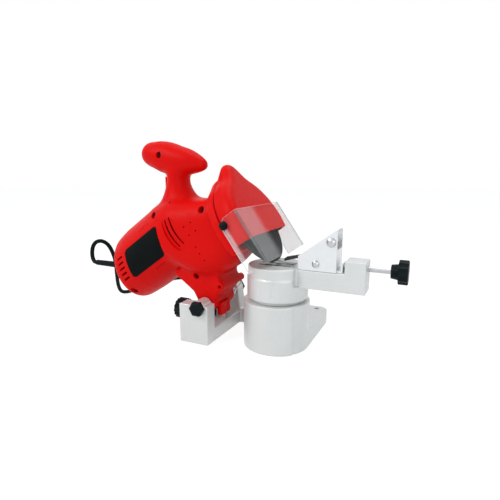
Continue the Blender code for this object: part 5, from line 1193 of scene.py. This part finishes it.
def shield_lines():
    """(x, y) points of the bent sheet seen from above, outside and inside."""
    outer = [(SHIELD_BACK, -SHIELD_HALF), (SHIELD_BACK + SHIELD_CHAMFER, -SHIELD_HALF)]
    for side, first in ((-1, -math.pi / 2), (1, 0)):
        for step in range(BEND_STEPS + 1):
            angle = first + math.pi / 2 * step / BEND_STEPS
            outer.append((SHIELD_FRONT - SHIELD_BEND + SHIELD_BEND * math.cos(angle),
                          side * (SHIELD_HALF - SHIELD_BEND) + SHIELD_BEND * math.sin(angle)))
    outer += [(SHIELD_BACK + SHIELD_CHAMFER, SHIELD_HALF), (SHIELD_BACK, SHIELD_HALF)]
    inner_bend = SHIELD_BEND - SHIELD_SHEET
    inner = []
    for x, y in outer:
        if x <= SHIELD_BACK + SHIELD_CHAMFER:
            inner.append((x, math.copysign(SHIELD_HALF - SHIELD_SHEET, y)))
        else:
            middle = (SHIELD_FRONT - SHIELD_BEND, math.copysign(SHIELD_HALF - SHIELD_BEND, y))
            inner.append(tuple(c + (p - c) * inner_bend / SHIELD_BEND for p, c in zip((x, y), middle)))
    return outer, inner


def clear_guard():
    """One sheet bent round the wheel: near side, front and far side, with a painted highlight on its edges
    and painted shade on its folds.
    """
    outer, inner = shield_lines()
    points = []
    for (ox, oy), (ix, iy) in zip(outer, inner):
        top = SHIELD_TOP - (SHIELD_CHAMFER / 2 if ox == SHIELD_BACK else 0)
        for x, y, z in ((ox, oy, SHIELD_BOTTOM), (ox, oy, top), (ix, iy, top), (ix, iy, SHIELD_BOTTOM)):
            points.append(head(x, y, z))
    faces = [(0, 1, 2, 3)]
    kinds = [PAINTED_HIGHLIGHT_EDGE]
    near_bend = range(2, 2 + BEND_STEPS)
    far_bend = range(3 + BEND_STEPS, 3 + 2 * BEND_STEPS)
    for index in range(len(outer) - 1):
        low = index * SECTION_CORNERS
        high = low + SECTION_CORNERS
        side_kind = PAINTED_SHADE_FOLD if index in near_bend or index in far_bend else SHEET
        for corner in range(SECTION_CORNERS):
            following = (corner + 1) % SECTION_CORNERS
            faces.append((low + corner, low + following, high + following, high + corner))
            kinds.append(side_kind if corner in (0, 2) else PAINTED_HIGHLIGHT_EDGE)
    faces.append((high, high + 3, high + 2, high + 1))
    kinds.append(PAINTED_HIGHLIGHT_EDGE)
    sheet = raw("shield_sheet", points, faces)
    holes = [round_y([(way * (SHIELD_HALF + OVER), SHIELD_SHANK), (way * (SHIELD_HALF - OVER), SHIELD_SHANK)],
                     *SHIELD_SCREW) for way in (-1, 1)]
    for paint in ("clear", "edge", "fold"):
        sheet.data.materials.append(PAINTS[paint])
    for face, kind in zip(sheet.data.polygons, kinds):
        face.material_index = kind
    cut(sheet, joined("screw_holes", holes))
    sheet.name = "clear_shield_sheet"
    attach(sheet, "head")
    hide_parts("clear_shield")


camera()
studio()
dress_nodes()
housing()
housing_screws()
guard_cover()
for copy in COPIES:
    rounded_copy(*copy)
clear_guard()
cord()
